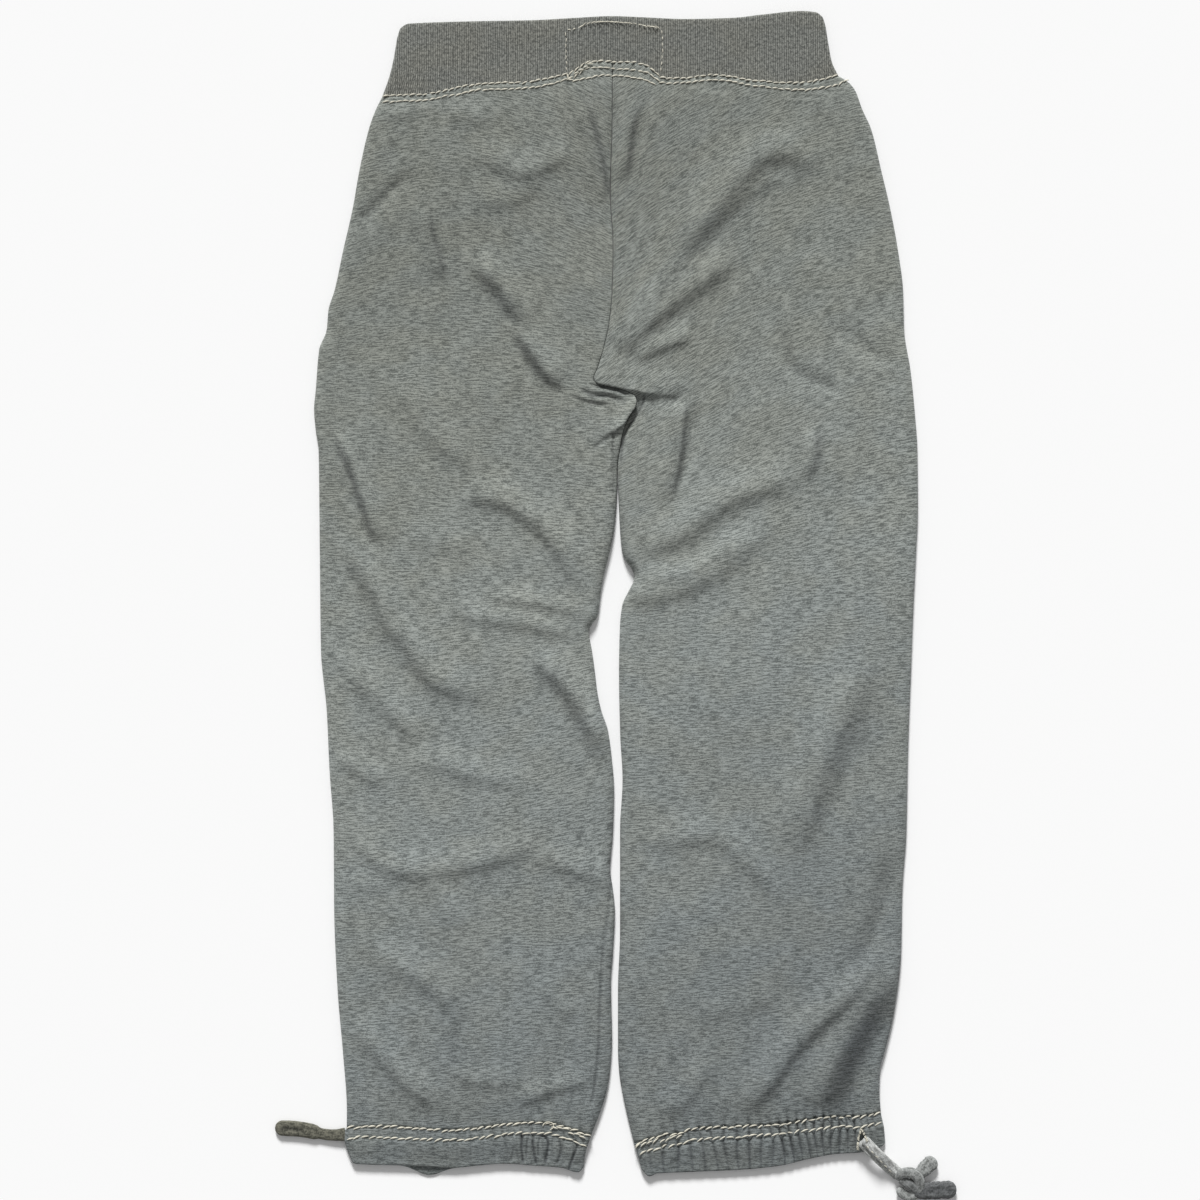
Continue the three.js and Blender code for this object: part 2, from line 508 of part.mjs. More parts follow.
// One ring of a flattened tube, whose upper and lower sides are sampled at the given shares of
// the width between the two rolled ends
function flatRing({ left, right, low, high, roll, topShares, bottomShares, topY, bottomY, ripple }) {
  const ring = [];
  const middle = (low + high) / 2;
  const half = (high - low) / 2;
  const innerLeft = left + roll;
  const innerRight = right - roll;
  topShares.forEach((share, i) => {
    const x = lerp(innerLeft, innerRight, share);
    ring.push([x, topY(x), high + ripple(x, i), share]);
  });
  const rolled = (centre, towards, turn) => {
    for (let i = 1; i < ROLL_POINTS; i += 1) {
      const angle = (Math.PI * i) / ROLL_POINTS;
      const x = centre + towards * roll * Math.sin(angle);
      const z = middle + towards * half * Math.cos(angle);
      ring.push([x, lerp(bottomY(x), topY(x), (z - low) / (high - low)), z, turn + i / ROLL_POINTS]);
    }
  };
  rolled(innerRight, 1, 1);
  for (const share of [...bottomShares].reverse()) {
    const x = lerp(innerLeft, innerRight, share);
    ring.push([x, bottomY(x), low, 3 - share]);
  }
  rolled(innerLeft, -1, 3);
  return ring;
}

const evenShares = (count) => Array.from({ length: count + 1 }, (_, i) => i / count);

// Shares of a width at which the given x places lie, with both ends
function sharesBetween(xs, from, to) {
  const inside = xs.filter((x) => x > from + 0.4 && x < to - 0.4);
  return [0, ...inside.map((x) => (x - from) / (to - from)), 1];
}

// The x places where the panels' columns meet a seam, for one layer of one or both legs
function seamXs(legs, count, seamFor) {
  const xs = legs.flatMap((leg) =>
    seamPlaces(leg, columnsOf(count), seamFor(leg), seamFor(leg)(leg.outer(0))).map((p) => p.x),
  );
  return xs.sort((a, b) => a - b);
}

// A flattened tube with its wall, sewn to the panels at level 0 and free at level 1.
// Its outer upper side is sampled evenly for its ribs or gathers, and the rest at the panels' columns.
function flatTube({ levels, size, backXs, frontXs, leftAt, rightAt, topY, bottomY, outerCount, ripple }) {
  const ringAt = (level, inset, outer) => {
    const roll = Math.max(size.roll - inset, 0.2);
    const from = leftAt(0) + inset + roll;
    const to = rightAt(0) - inset - roll;
    return flatRing({
      left: leftAt(level) + inset,
      right: rightAt(level) - inset,
      low: inset,
      high: size.height - inset,
      roll,
      topShares: outer ? evenShares(outerCount) : sharesBetween(backXs, from, to),
      bottomShares: sharesBetween(frontXs, from, to),
      topY: (x) => topY(x, level),
      bottomY: (x) => bottomY(x, level),
      ripple: (x, i) => (outer ? ripple(x, i, level) : 0),
    });
  };
  const outerRings = levels.map((level) => ringAt(level, 0, true));
  const innerRings = levels.map((level) => ringAt(level, size.wall, false));
  return { outerRings, innerRings };
}

function waistband() {
  const legs = [LEGS.left, LEGS.right];
  const backXs = seamXs(legs, BACK_COLUMNS, () => waistSeam);
  const frontXs = seamXs(legs, FRONT_COLUMNS, () => waistSeam);
  const seamBack = stepped(waistSeam, backXs);
  const seamFront = stepped(waistSeam, frontXs);
  const top = curve(BAND_TOP, "x", "y");
  const left = curve(BAND_LEFT, "y", "x");
  const right = curve(BAND_RIGHT, "y", "x");
  const leftAt = (level) => left(lerp(BAND_LEFT.at(-1).y, BAND_LEFT[0].y, level));
  const rightAt = (level) => right(lerp(BAND_RIGHT.at(-1).y, BAND_RIGHT[0].y, level));
  const ribs = Math.round((rightAt(0.5) - leftAt(0.5)) / BAND.ribPitch);
  const { outerRings, innerRings } = flatTube({
    levels: [0, 0.5, 1],
    size: BAND,
    backXs,
    frontXs,
    leftAt,
    rightAt,
    topY: (x, level) => lerp(seamBack(x) + SEAM_GAP / 2, top(x), level),
    bottomY: (x, level) => lerp(seamFront(x) + SEAM_GAP / 2, top(x), level),
    outerCount: 2 * ribs,
    ripple: (x, i) => (i % 2 === 1 ? -BAND.ribDepth : 0),
  });
  return tubeOf(outerRings, innerRings);
}

function hemCasing(leg, hem) {
  const backXs = seamXs([leg], BACK_COLUMNS, (l) => l.hemSeam);
  const frontXs = seamXs([leg], FRONT_COLUMNS, (l) => l.hemSeam);
  const seamBack = stepped(leg.hemSeam, backXs);
  const seamFront = stepped(leg.hemSeam, frontXs);
  const edge = curve(hem.edge, "x", "y");
  const sag = (x) => hem.lobe.depth * Math.exp(-(((x - hem.lobe.x) / (hem.lobe.halfWidth * 0.6)) ** 2));
  const { outerRings, innerRings } = flatTube({
    levels: [0, 0.22, 0.8, 1],
    size: HEM,
    backXs,
    frontXs,
    leftAt: curve(hem.sides, "t", "left"),
    rightAt: curve(hem.sides, "t", "right"),
    topY: (x, level) => lerp(seamBack(x) - SEAM_GAP / 2, edge(x), level),
    bottomY: (x, level) => lerp(seamFront(x) - SEAM_GAP / 2, edge(x) - sag(x), level),
    outerCount: 3 * HEM.gathers,
    ripple: (x, i, level) => {
      const gathered = Math.sin(Math.PI * clamp(level, 0.12, 0.9)) * (0.65 + 0.35 * Math.sin(x / 9));
      return i % 3 === 1 ? -HEM.gatherDepth * gathered : 0;
    },
  });
  return tubeOf(outerRings.reverse(), innerRings.reverse());
}

// A flat cord: an oval section along a smooth route
function flatCord(route, size) {
  const path = new THREE.CatmullRomCurve3(route.map((p) => new THREE.Vector3(p.x, p.y, p.z)));
  const section = new THREE.Shape();
  for (let i = 0; i < CORD_SIDES; i += 1) {
    const angle = (2 * Math.PI * i) / CORD_SIDES;
    const up = (size.thick / 2) * Math.cos(angle);
    const across = (size.width / 2) * Math.sin(angle);
    if (i === 0) section.moveTo(up, across);
    else section.lineTo(up, across);
  }
  section.closePath();
  const steps = 2 * (route.length - 1);
  return new THREE.ExtrudeGeometry(section, { extrudePath: path, steps, bevelEnabled: false });
}

// A knot or a folded cord end: an oval body with soft ends, lying on the surface
function roundedBody({ x, y, length, width, thick, turn }) {
  const stations = [-1, -0.93, -0.75, -0.4, 0.4, 0.75, 0.93, 1];
  const profile = stations.map((t) => new THREE.Vector2(Math.sqrt(1 - Math.abs(t) ** 3.2), t));
  const geometry = new THREE.LatheGeometry(profile, ROUND_SIDES);
  geometry.scale(width / 2, length / 2, thick / 2);
  geometry.rotateZ(THREE.MathUtils.degToRad(turn));
  geometry.translate(x, y, thick / 2 + CORD_LIFT);
  return geometry;
}

function knotOfCord() {
  return geometryFrom(KNOT.map((body) => solidOf(roundedBody(body))).reduce((all, next) => all.add(next)));
}

const wasm = await Module();
wasm.setup();

// A closed mesh as a solid that can be cut
function solidOf(geometry) {
  const plain = new THREE.BufferGeometry();
  const source = geometry.index ? geometry.toNonIndexed() : geometry;
  plain.setAttribute("position", source.getAttribute("position").clone());
  const merged = mergeVertices(plain, 1e-4);
  return new wasm.Manifold(
    new wasm.Mesh({
      numProp: 3,
      vertProperties: merged.attributes.position.array,
      triVerts: new Uint32Array(merged.index.array),
    }),
  );
}

function geometryFrom(solid) {
  const mesh = solid.getMesh();
  const geometry = new THREE.BufferGeometry();
  const positions = new Float32Array(mesh.numVert * 3);
  for (let i = 0; i < mesh.numVert; i += 1) {
    positions.set(mesh.vertProperties.subarray(i * mesh.numProp, i * mesh.numProp + 3), i * 3);
  }
  geometry.setAttribute("position", new THREE.BufferAttribute(positions, 3));
  geometry.setIndex(new THREE.BufferAttribute(mesh.triVerts, 1));
  geometry.computeVertexNormals();
  return geometry;
}

// The buttonhole through the upper wall of the right hem casing
function withSlit(geometry) {
  const cutter = new THREE.CylinderGeometry(0.5, 0.5, HEM.height, 10);
  cutter.rotateX(Math.PI / 2);
  cutter.scale(SLIT.width, SLIT.length, 1);
  cutter.rotateZ(SLIT.lean);
  cutter.translate(SLIT.x, SLIT.y, HEM.height);
  return geometryFrom(solidOf(geometry).subtract(solidOf(cutter)));
}

const cloth = { color: CLOTH_GREY, roughness: 0.95, metalness: 0 };
const rib = { color: RIB_GREY, roughness: 0.95, metalness: 0 };
const cordCloth = { color: CORD_GREY, roughness: 0.95, metalness: 0 };
const sweatpants = new THREE.Group();

function add(name, geometry, finish) {
  const mesh = new THREE.Mesh(geometry, new THREE.MeshStandardMaterial(finish));
  mesh.name = name;
  sweatpants.add(mesh);
  return mesh;
}

add("front_left", frontPanel(LEGS.left), cloth);
add("front_right", frontPanel(LEGS.right), cloth);
add("back_left", backPanel(LEGS.left), cloth);
add("back_right", backPanel(LEGS.right), cloth);
add("waistband", waistband(), rib);
add("hem_casing_left", hemCasing(LEGS.left, LEFT_HEM), cloth);
add("hem_casing_right", withSlit(hemCasing(LEGS.right, RIGHT_HEM)), cloth);
add("drawcord_left", flatCord(LEFT_ROUTE, LEFT_CORD), cordCloth);
add("drawcord_right_lower", flatCord(LOWER_ROUTE, RIGHT_CORD), cordCloth);
add("drawcord_right_upper", flatCord(UPPER_ROUTE, RIGHT_CORD), cordCloth);
add("drawcord_knot", knotOfCord(), cordCloth);

export default sweatpants;
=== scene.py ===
"""Dresses the jogger sweatpants that lie flat, back side up, for a picture from straight above.

Lengths in the tables are millimetres in the frame of the CAD solids, with +X to the right, +Y to
the waist and +Z up from the floor. MM turns them into metres.
"""

import logging
import math
from dataclasses import dataclass
from enum import Enum
from typing import Callable, Sequence

import bpy
import numpy as np
from mathutils import Matrix, Vector
from mathutils.bvhtree import BVHTree


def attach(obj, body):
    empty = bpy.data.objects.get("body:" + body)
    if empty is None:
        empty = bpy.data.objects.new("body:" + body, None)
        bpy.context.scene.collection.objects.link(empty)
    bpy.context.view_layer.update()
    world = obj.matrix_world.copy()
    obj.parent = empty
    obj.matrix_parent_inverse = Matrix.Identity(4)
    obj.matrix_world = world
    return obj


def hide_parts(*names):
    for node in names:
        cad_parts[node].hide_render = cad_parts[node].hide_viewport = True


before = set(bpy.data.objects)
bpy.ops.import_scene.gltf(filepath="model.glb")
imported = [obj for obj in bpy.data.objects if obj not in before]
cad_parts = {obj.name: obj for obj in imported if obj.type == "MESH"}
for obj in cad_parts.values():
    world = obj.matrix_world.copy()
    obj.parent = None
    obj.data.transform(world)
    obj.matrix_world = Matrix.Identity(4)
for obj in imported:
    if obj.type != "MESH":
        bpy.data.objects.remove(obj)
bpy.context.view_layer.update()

LOG = logging.getLogger("sweatpants")

Array = np.ndarray
Place = tuple[float, float]
Colour = tuple[float, float, float]
Route = tuple[tuple[float, float, float], ...]
Steps = tuple[tuple[float, float, int], ...]
Placer = Callable[[Array, Array], tuple[Array, Array]]
Socket = bpy.types.NodeSocket

MM = 0.001
JOIN_DISTANCE = 0.01
CLOTH = 2.0
SEAM_GAP = 0.3
SIDE_SEAM_Z = 2.2
BACK_TOP_Z = 7.2
EDGE_ROLL = 9.0
LOFT = 1.3
LOWEST_RELIEF = -2.9
FRONT_RELIEF = 1.3
BAND_HEIGHT = 6.6
BAND_WALL = 2.9
BAND_ROLL = 3.2
RIB_PITCH = 1.93
HEM_HEIGHT = 7.2
HEM_WALL = 3.2
HEM_ROLL = 3.4
# The least room between the middle of a tube and its wall, and its sides' least rounding
LEAST_OPENING = 0.4
LEAST_ROLL = 0.2
CROTCH_Y = 93.0
CROTCH_BLEND = 55.0
# The point attribute that holds shade painted into the cloth's colour, in folds, gathers and cord ends
PAINTED_SHADE_ATTRIBUTE = "painted_shade"
# A crease's reach in its own half-widths, and the steps between two of its places
CREASE_REACH = 2.6
CREASE_STEPS = 6
# How far from a crease the painted shade at its foot lies, and how wide it is, in half-widths of its drop
FOOT_PLACE = 0.6
FOOT_WIDTH = 0.8
# The faces along and across a panel: the start, the end and the count of each stretch
BACK_ROWS = ((455, 240, 62), (240, 100, 84), (100, -60, 56), (-60, -400, 92), (-400, -465, 22))
BACK_COLUMNS = ((0, 0.72, 74), (0.72, 0.92, 30), (0.92, 1, 24))
FRONT_ROWS = ((455, 95, 82), (95, -60, 36), (-60, -465, 86))
FRONT_COLUMNS = ((0, 1, 52),)

# The outlines, from the waist seam down to the hem seams, as y and x
OUTER_LEFT = (
    (432, -203), (420, -209), (403, -215), (368, -223), (334, -229), (299, -237), (264, -244.5),
    (246, -250), (229, -251.5), (212, -258), (177, -261), (160, -262.5), (142, -261),
    (125, -258.5), (38, -257.5), (-49, -256.5), (-101, -251.5), (-154, -249), (-206, -245.5),
    (-275, -245), (-345, -242), (-397, -237.5), (-449, -234), (-470, -234),
)
OUTER_RIGHT = (
    (450, 193), (444, 202.5), (437, 208), (421, 214), (403, 222), (368, 230.5), (334, 238.5),
    (299, 245), (264, 249.5), (229, 250.5), (194, 256), (160, 259.5), (125, 262), (73, 262.5),
    (38, 261), (-14, 258.5), (-67, 256.5), (-136, 254), (-206, 252.5), (-258, 249), (-310, 248),
    (-362, 242), (-397, 234), (-415, 229.5), (-432, 229), (-455, 230.5),
)
CENTRE_SEAM = (
    (465, -3), (400, -3.5), (350, -5), (300, -2.5), (260, -3.5), (235, -6), (212, -11),
    (196, -16), (186, -19.5), (182.5, -17), (180, -8), (178, 2), (175, 11), (171.5, 16.2),
    (167, 18), (162, 17.2), (154, 12), (147, 8.4), (138, 5.6), (124, 3.2), (109, 1.2), (93, 1.3),
)
INNER_LEFT = (
    (93, 1.1), (73, 0), (55, -1.7), (38, -5), (20, -9.6), (3, -13), (-14, -15), (-21, -16.5),
    (-28, -22), (-34, -23.5), (-49, -21), (-67, -18.5), (-84, -16.5), (-101, -13), (-119, -7),
    (-136, -4.5), (-171, -1.7), (-206, -2.6), (-239, -5), (-258, -2.6), (-275, -1),
    (-310, -2.6), (-336, -4.4), (-388, -3.5), (-415, -5.2), (-432, -8), (-449, -13), (-472, -22),
)
INNER_RIGHT = (
    (93, 1.6), (73, 2.6), (55, 3.5), (38, 5), (29, 8), (20, 14.5), (15, 16), (10, 15), (2, 11),
    (-10, 5.5), (-27, 3.5), (-67, 2.6), (-119, 3.5), (-162, 5.7), (-206, 3.5), (-293, 3.5),
    (-345, 1.7), (-397, 1.7), (-415, 2.6), (-432, 5.2), (-449, 8.7), (-479, 16),
)
# Seams and edges that run across, as x and y
WAIST_SEAM = (
    (-203, 432), (-165, 433.5), (-139, 439), (-115, 442.5), (-83, 443.5), (-57, 447.5),
    (-42, 451), (-32, 456.5), (-22, 462), (-3, 461.5), (21, 460), (31, 455.5), (40, 447.5),
    (61, 447.5), (88, 450), (114, 446), (141, 443.5), (167, 444), (193, 450),
)
BAND_TOP = (
    (-190, 484), (-187, 491), (-180, 495), (-125, 497), (-72, 498), (-35, 500), (-3, 501.5),
    (23, 500.5), (61, 499), (101, 500), (128, 503), (162, 506), (173, 505), (179, 501),
    (182, 494),
)
BAND_LEFT = ((484, -190), (463, -193.5), (447, -197.5), (432, -203))
BAND_RIGHT = ((494, 182), (476, 185), (461, 188), (450, 193))
LEFT_HEM_SEAM = (
    (-234, -464), (-212, -463), (-185, -463.5), (-154, -466), (-128, -465), (-105, -462.5),
    (-79, -460), (-59, -460), (-43.5, -464), (-21.5, -471),
)
LEFT_HEM_EDGE = (
    (-234, -487), (-228, -495.5), (-208, -496.5), (-188, -497), (-141, -499), (-118, -497),
    (-97, -495.5), (-74, -497), (-48, -499), (-33, -503), (-28, -499),
)
RIGHT_HEM_SEAM = (
    (15.5, -478), (39, -471), (57.5, -468.5), (75, -464), (104, -463), (134, -461.5),
    (161, -458), (186, -454.5), (210, -454.5), (230, -451),
)
RIGHT_HEM_EDGE = (
    (22, -500.5), (29, -506.5), (36, -504), (70, -502.5), (112, -500.5), (144, -497),
    (165, -492), (192, -487), (210, -486), (229, -481.5), (234, -478),
)

# The sides of the hem casings, as a share of the way from the seam to the edge, and the two x
LEFT_CASING_SIDES = (
    (0, -234.2, -21.5), (0.15, -235.7, -22.8), (0.45, -235.9, -25.6), (0.78, -234.2, -27.4), (1, -229, -28),
)
RIGHT_CASING_SIDES = ((0, 15.5, 230), (0.5, 19, 233), (1, 22, 234))

# Routes of the drawcords, as x, y and z, the same as those of their solids
LEFT_ROUTE = (
    (-234.8, -470.0, 3.4), (-243, -470.7, 3.0), (-251, -470.4, 2.6), (-259, -469.0, 2.4),
    (-267, -467.0, 2.3), (-277, -465.5, 2.3), (-287, -464.9, 2.3), (-296.5, -464.6, 2.3),
)
LOWER_ROUTE = (
    (212.0, -475.0, 8.8), (217, -480.4, 8.8), (222.4, -485.9, 8.8), (227.5, -490.9, 7.2),
    (232.5, -495.8, 4.4), (237.6, -500.6, 2.2), (245.7, -507.5, 1.6),
)
UPPER_ROUTE = (
    (214.4, -472.2, 11.7), (219.4, -477.6, 11.7), (224.8, -483.1, 11.7), (230.6, -488.8, 10.2),
    (236, -494, 7.4), (240.6, -498.4, 5.6), (246.8, -503.9, 5.2),
)


def lerp(a: Array | float, b: Array | float, t: Array | float) -> Array | float:
    """Returns the value at share t of the way from a to b."""
    return a + (b - a) * t


def smooth(value: Array, low: float, high: float) -> Array:
    """Returns a soft step from 0 at low to 1 at high."""
    t = np.clip((value - low) / (high - low), 0.0, 1.0)
    return t * t * (3.0 - 2.0 * t)


class Line:
    """A smooth line through a table's rows that never runs past them."""

    def __init__(self, rows: Sequence[Place]) -> None:
        """Fits the line to its rows.

        Args:
            rows: pairs of a position and its value, in any order.
        """
        table = np.array(sorted(rows), dtype=float)
        self.at, self.value = table[:, 0], table[:, 1]
        rise = np.diff(self.value) / np.diff(self.at)
        product = rise[:-1] * rise[1:]
        total = np.where(product > 0, rise[:-1] + rise[1:], 1.0)
        inner = np.where(product > 0, 2.0 * product / total, 0.0)
        self.slope = np.concatenate([rise[:1], inner, rise[-1:]])

    def __call__(self, position: Array | float) -> Array:
        """Reads the line.

        Args:
            position: one position or more.

        Returns:
            The line's value at each.
        """
        p = np.clip(np.asarray(position, dtype=float), self.at[0], self.at[-1])
        i = np.clip(np.searchsorted(self.at, p, side="right") - 1, 0, len(self.at) - 2)
        span = self.at[i + 1] - self.at[i]
        t = (p - self.at[i]) / span
        value = self.value[i] * (1 + 2 * t) * (1 - t) ** 2 + self.value[i + 1] * t * t * (3 - 2 * t)
        bend = self.slope[i] * t * (1 - t) ** 2 - self.slope[i + 1] * t * t * (1 - t)
        return value + span * bend


def smooth_path(points: Sequence[Sequence[float]], steps: int) -> Array:
    """Runs a smooth curve through places.

    Args:
        points: two or more places.
        steps: how many steps to take between two of them.

    Returns:
        The curve's points, one row each.
    """
    p = np.array(points, dtype=float)
    p = np.vstack([2 * p[0] - p[1], p, 2 * p[-1] - p[-2]])
    rows = []
    for i in range(1, len(p) - 2):
        t = np.arange(steps)[:, None] / steps
        a, b, c, d = p[i - 1], p[i], p[i + 1], p[i + 2]
        rows.append(
            0.5
            * (
                2 * b
                + (c - a) * t
                + (2 * a - 5 * b + 4 * c - d) * t**2
                + (3 * b - a - 3 * c + d) * t**3
            )
        )
    return np.vstack([*rows, p[-2:-1]])


def way_along(path: Array) -> Array:
    """Returns how far along a path each of its points is."""
    return np.concatenate([[0], np.cumsum(np.linalg.norm(np.diff(path, axis=0), axis=1))])


class Legs(Enum):
    """One of the two legs."""

    LEFT = "left"
    RIGHT = "right"


class Layer(Enum):
    """Which side of the garment a sheet is on."""

    BACK = "back"
    FRONT = "front"


@dataclass(frozen=True)
class Crease:
    """A ridge, or a trough where its height is negative, along a smooth curve.

    left and right are its half-widths on either side of the way along it. Where they differ, the
    narrow side is a sharp drop and the wide side a slow rise. dark is how much shade is painted into
    the cloth's colour at the foot of the drop, where the cloth touches itself, from 0 to 1.
    """

    points: tuple[Place, ...]
    left: float
    right: float
    height: float
    ends: float = 0.28
    dark: float = 0.0

    def lift(self, x: Array, y: Array) -> Array:
        """Works out how far the crease lifts the cloth.

        Args:
            x: places across, in millimetres.
            y: places along.

        Returns:
            The height that it adds at each place.
        """
        out = np.zeros_like(x)
        near, distance, taper = self._nearest(x, y)
        width = np.where(distance >= 0, self.left, self.right)
        out[near] = self.height * taper * np.exp(-((distance / width) ** 2))
        return out

    def shade(self, x: Array, y: Array) -> Array:
        """Works out the shade painted into the cloth's colour at the foot of the crease.

        Args:
            x: places across, in millimetres.
            y: places along.

        Returns:
            The painted shade at each place, from 0 to 1.
        """
        out = np.zeros_like(x)
        if self.dark:
            near, distance, taper = self._nearest(x, y)
            foot = -FOOT_PLACE * self.right if self.height > 0 else 0.0
            from_foot = (distance - foot) / (FOOT_WIDTH * self.right)
            out[near] = self.dark * taper * np.exp(-(from_foot**2))
        return out

    def _nearest(self, x: Array, y: Array) -> tuple[Array, Array, Array]:
        """Finds each place's nearest point on the curve.

        Args:
            x: places across, in millimetres.
            y: places along.

        Returns:
            Which places are near the curve; and of those the distance from it, which is positive on
            the left of the way along it, and the share of its height that it has there.
        """
        path = smooth_path(self.points, CREASE_STEPS)
        reach = CREASE_REACH * max(self.left, self.right)
        low, high = path.min(axis=0) - reach, path.max(axis=0) + reach
        near = (x > low[0]) & (x < high[0]) & (y > low[1]) & (y < high[1])
        px, py = x[near], y[near]
        best = np.full(px.shape, np.inf)
        along = np.zeros_like(px)
        side = np.ones_like(px)
        steps = len(path) - 1
        for i in range(steps):
            dx, dy = path[i + 1] - path[i]
            from_x, from_y = px - path[i, 0], py - path[i, 1]
            share = np.clip((from_x * dx + from_y * dy) / (dx * dx + dy * dy), 0, 1)
            ox = from_x - share * dx
            oy = from_y - share * dy
            distance = np.hypot(ox, oy)
            closer = distance < best
            best = np.where(closer, distance, best)
            along = np.where(closer, (i + share) / steps, along)
            side = np.where(closer, np.where(dx * oy - dy * ox < 0, -1.0, 1.0), side)
        return near, best * side, smooth(np.minimum(along, 1 - along), -0.02, self.ends)


def crease(height: float, half: float, *points: Place, **more: object) -> Crease:
    """Returns a crease that is the same on both its sides."""
    return Crease(points=points, left=half, right=half, height=height, **more)


def lip(height: float, high: float, drop: float, *points: Place, **more: object) -> Crease:
    """Returns a crease that is high on the left of its way and drops on the right."""
    return Crease(points=points, left=high, right=drop, height=height, **more)
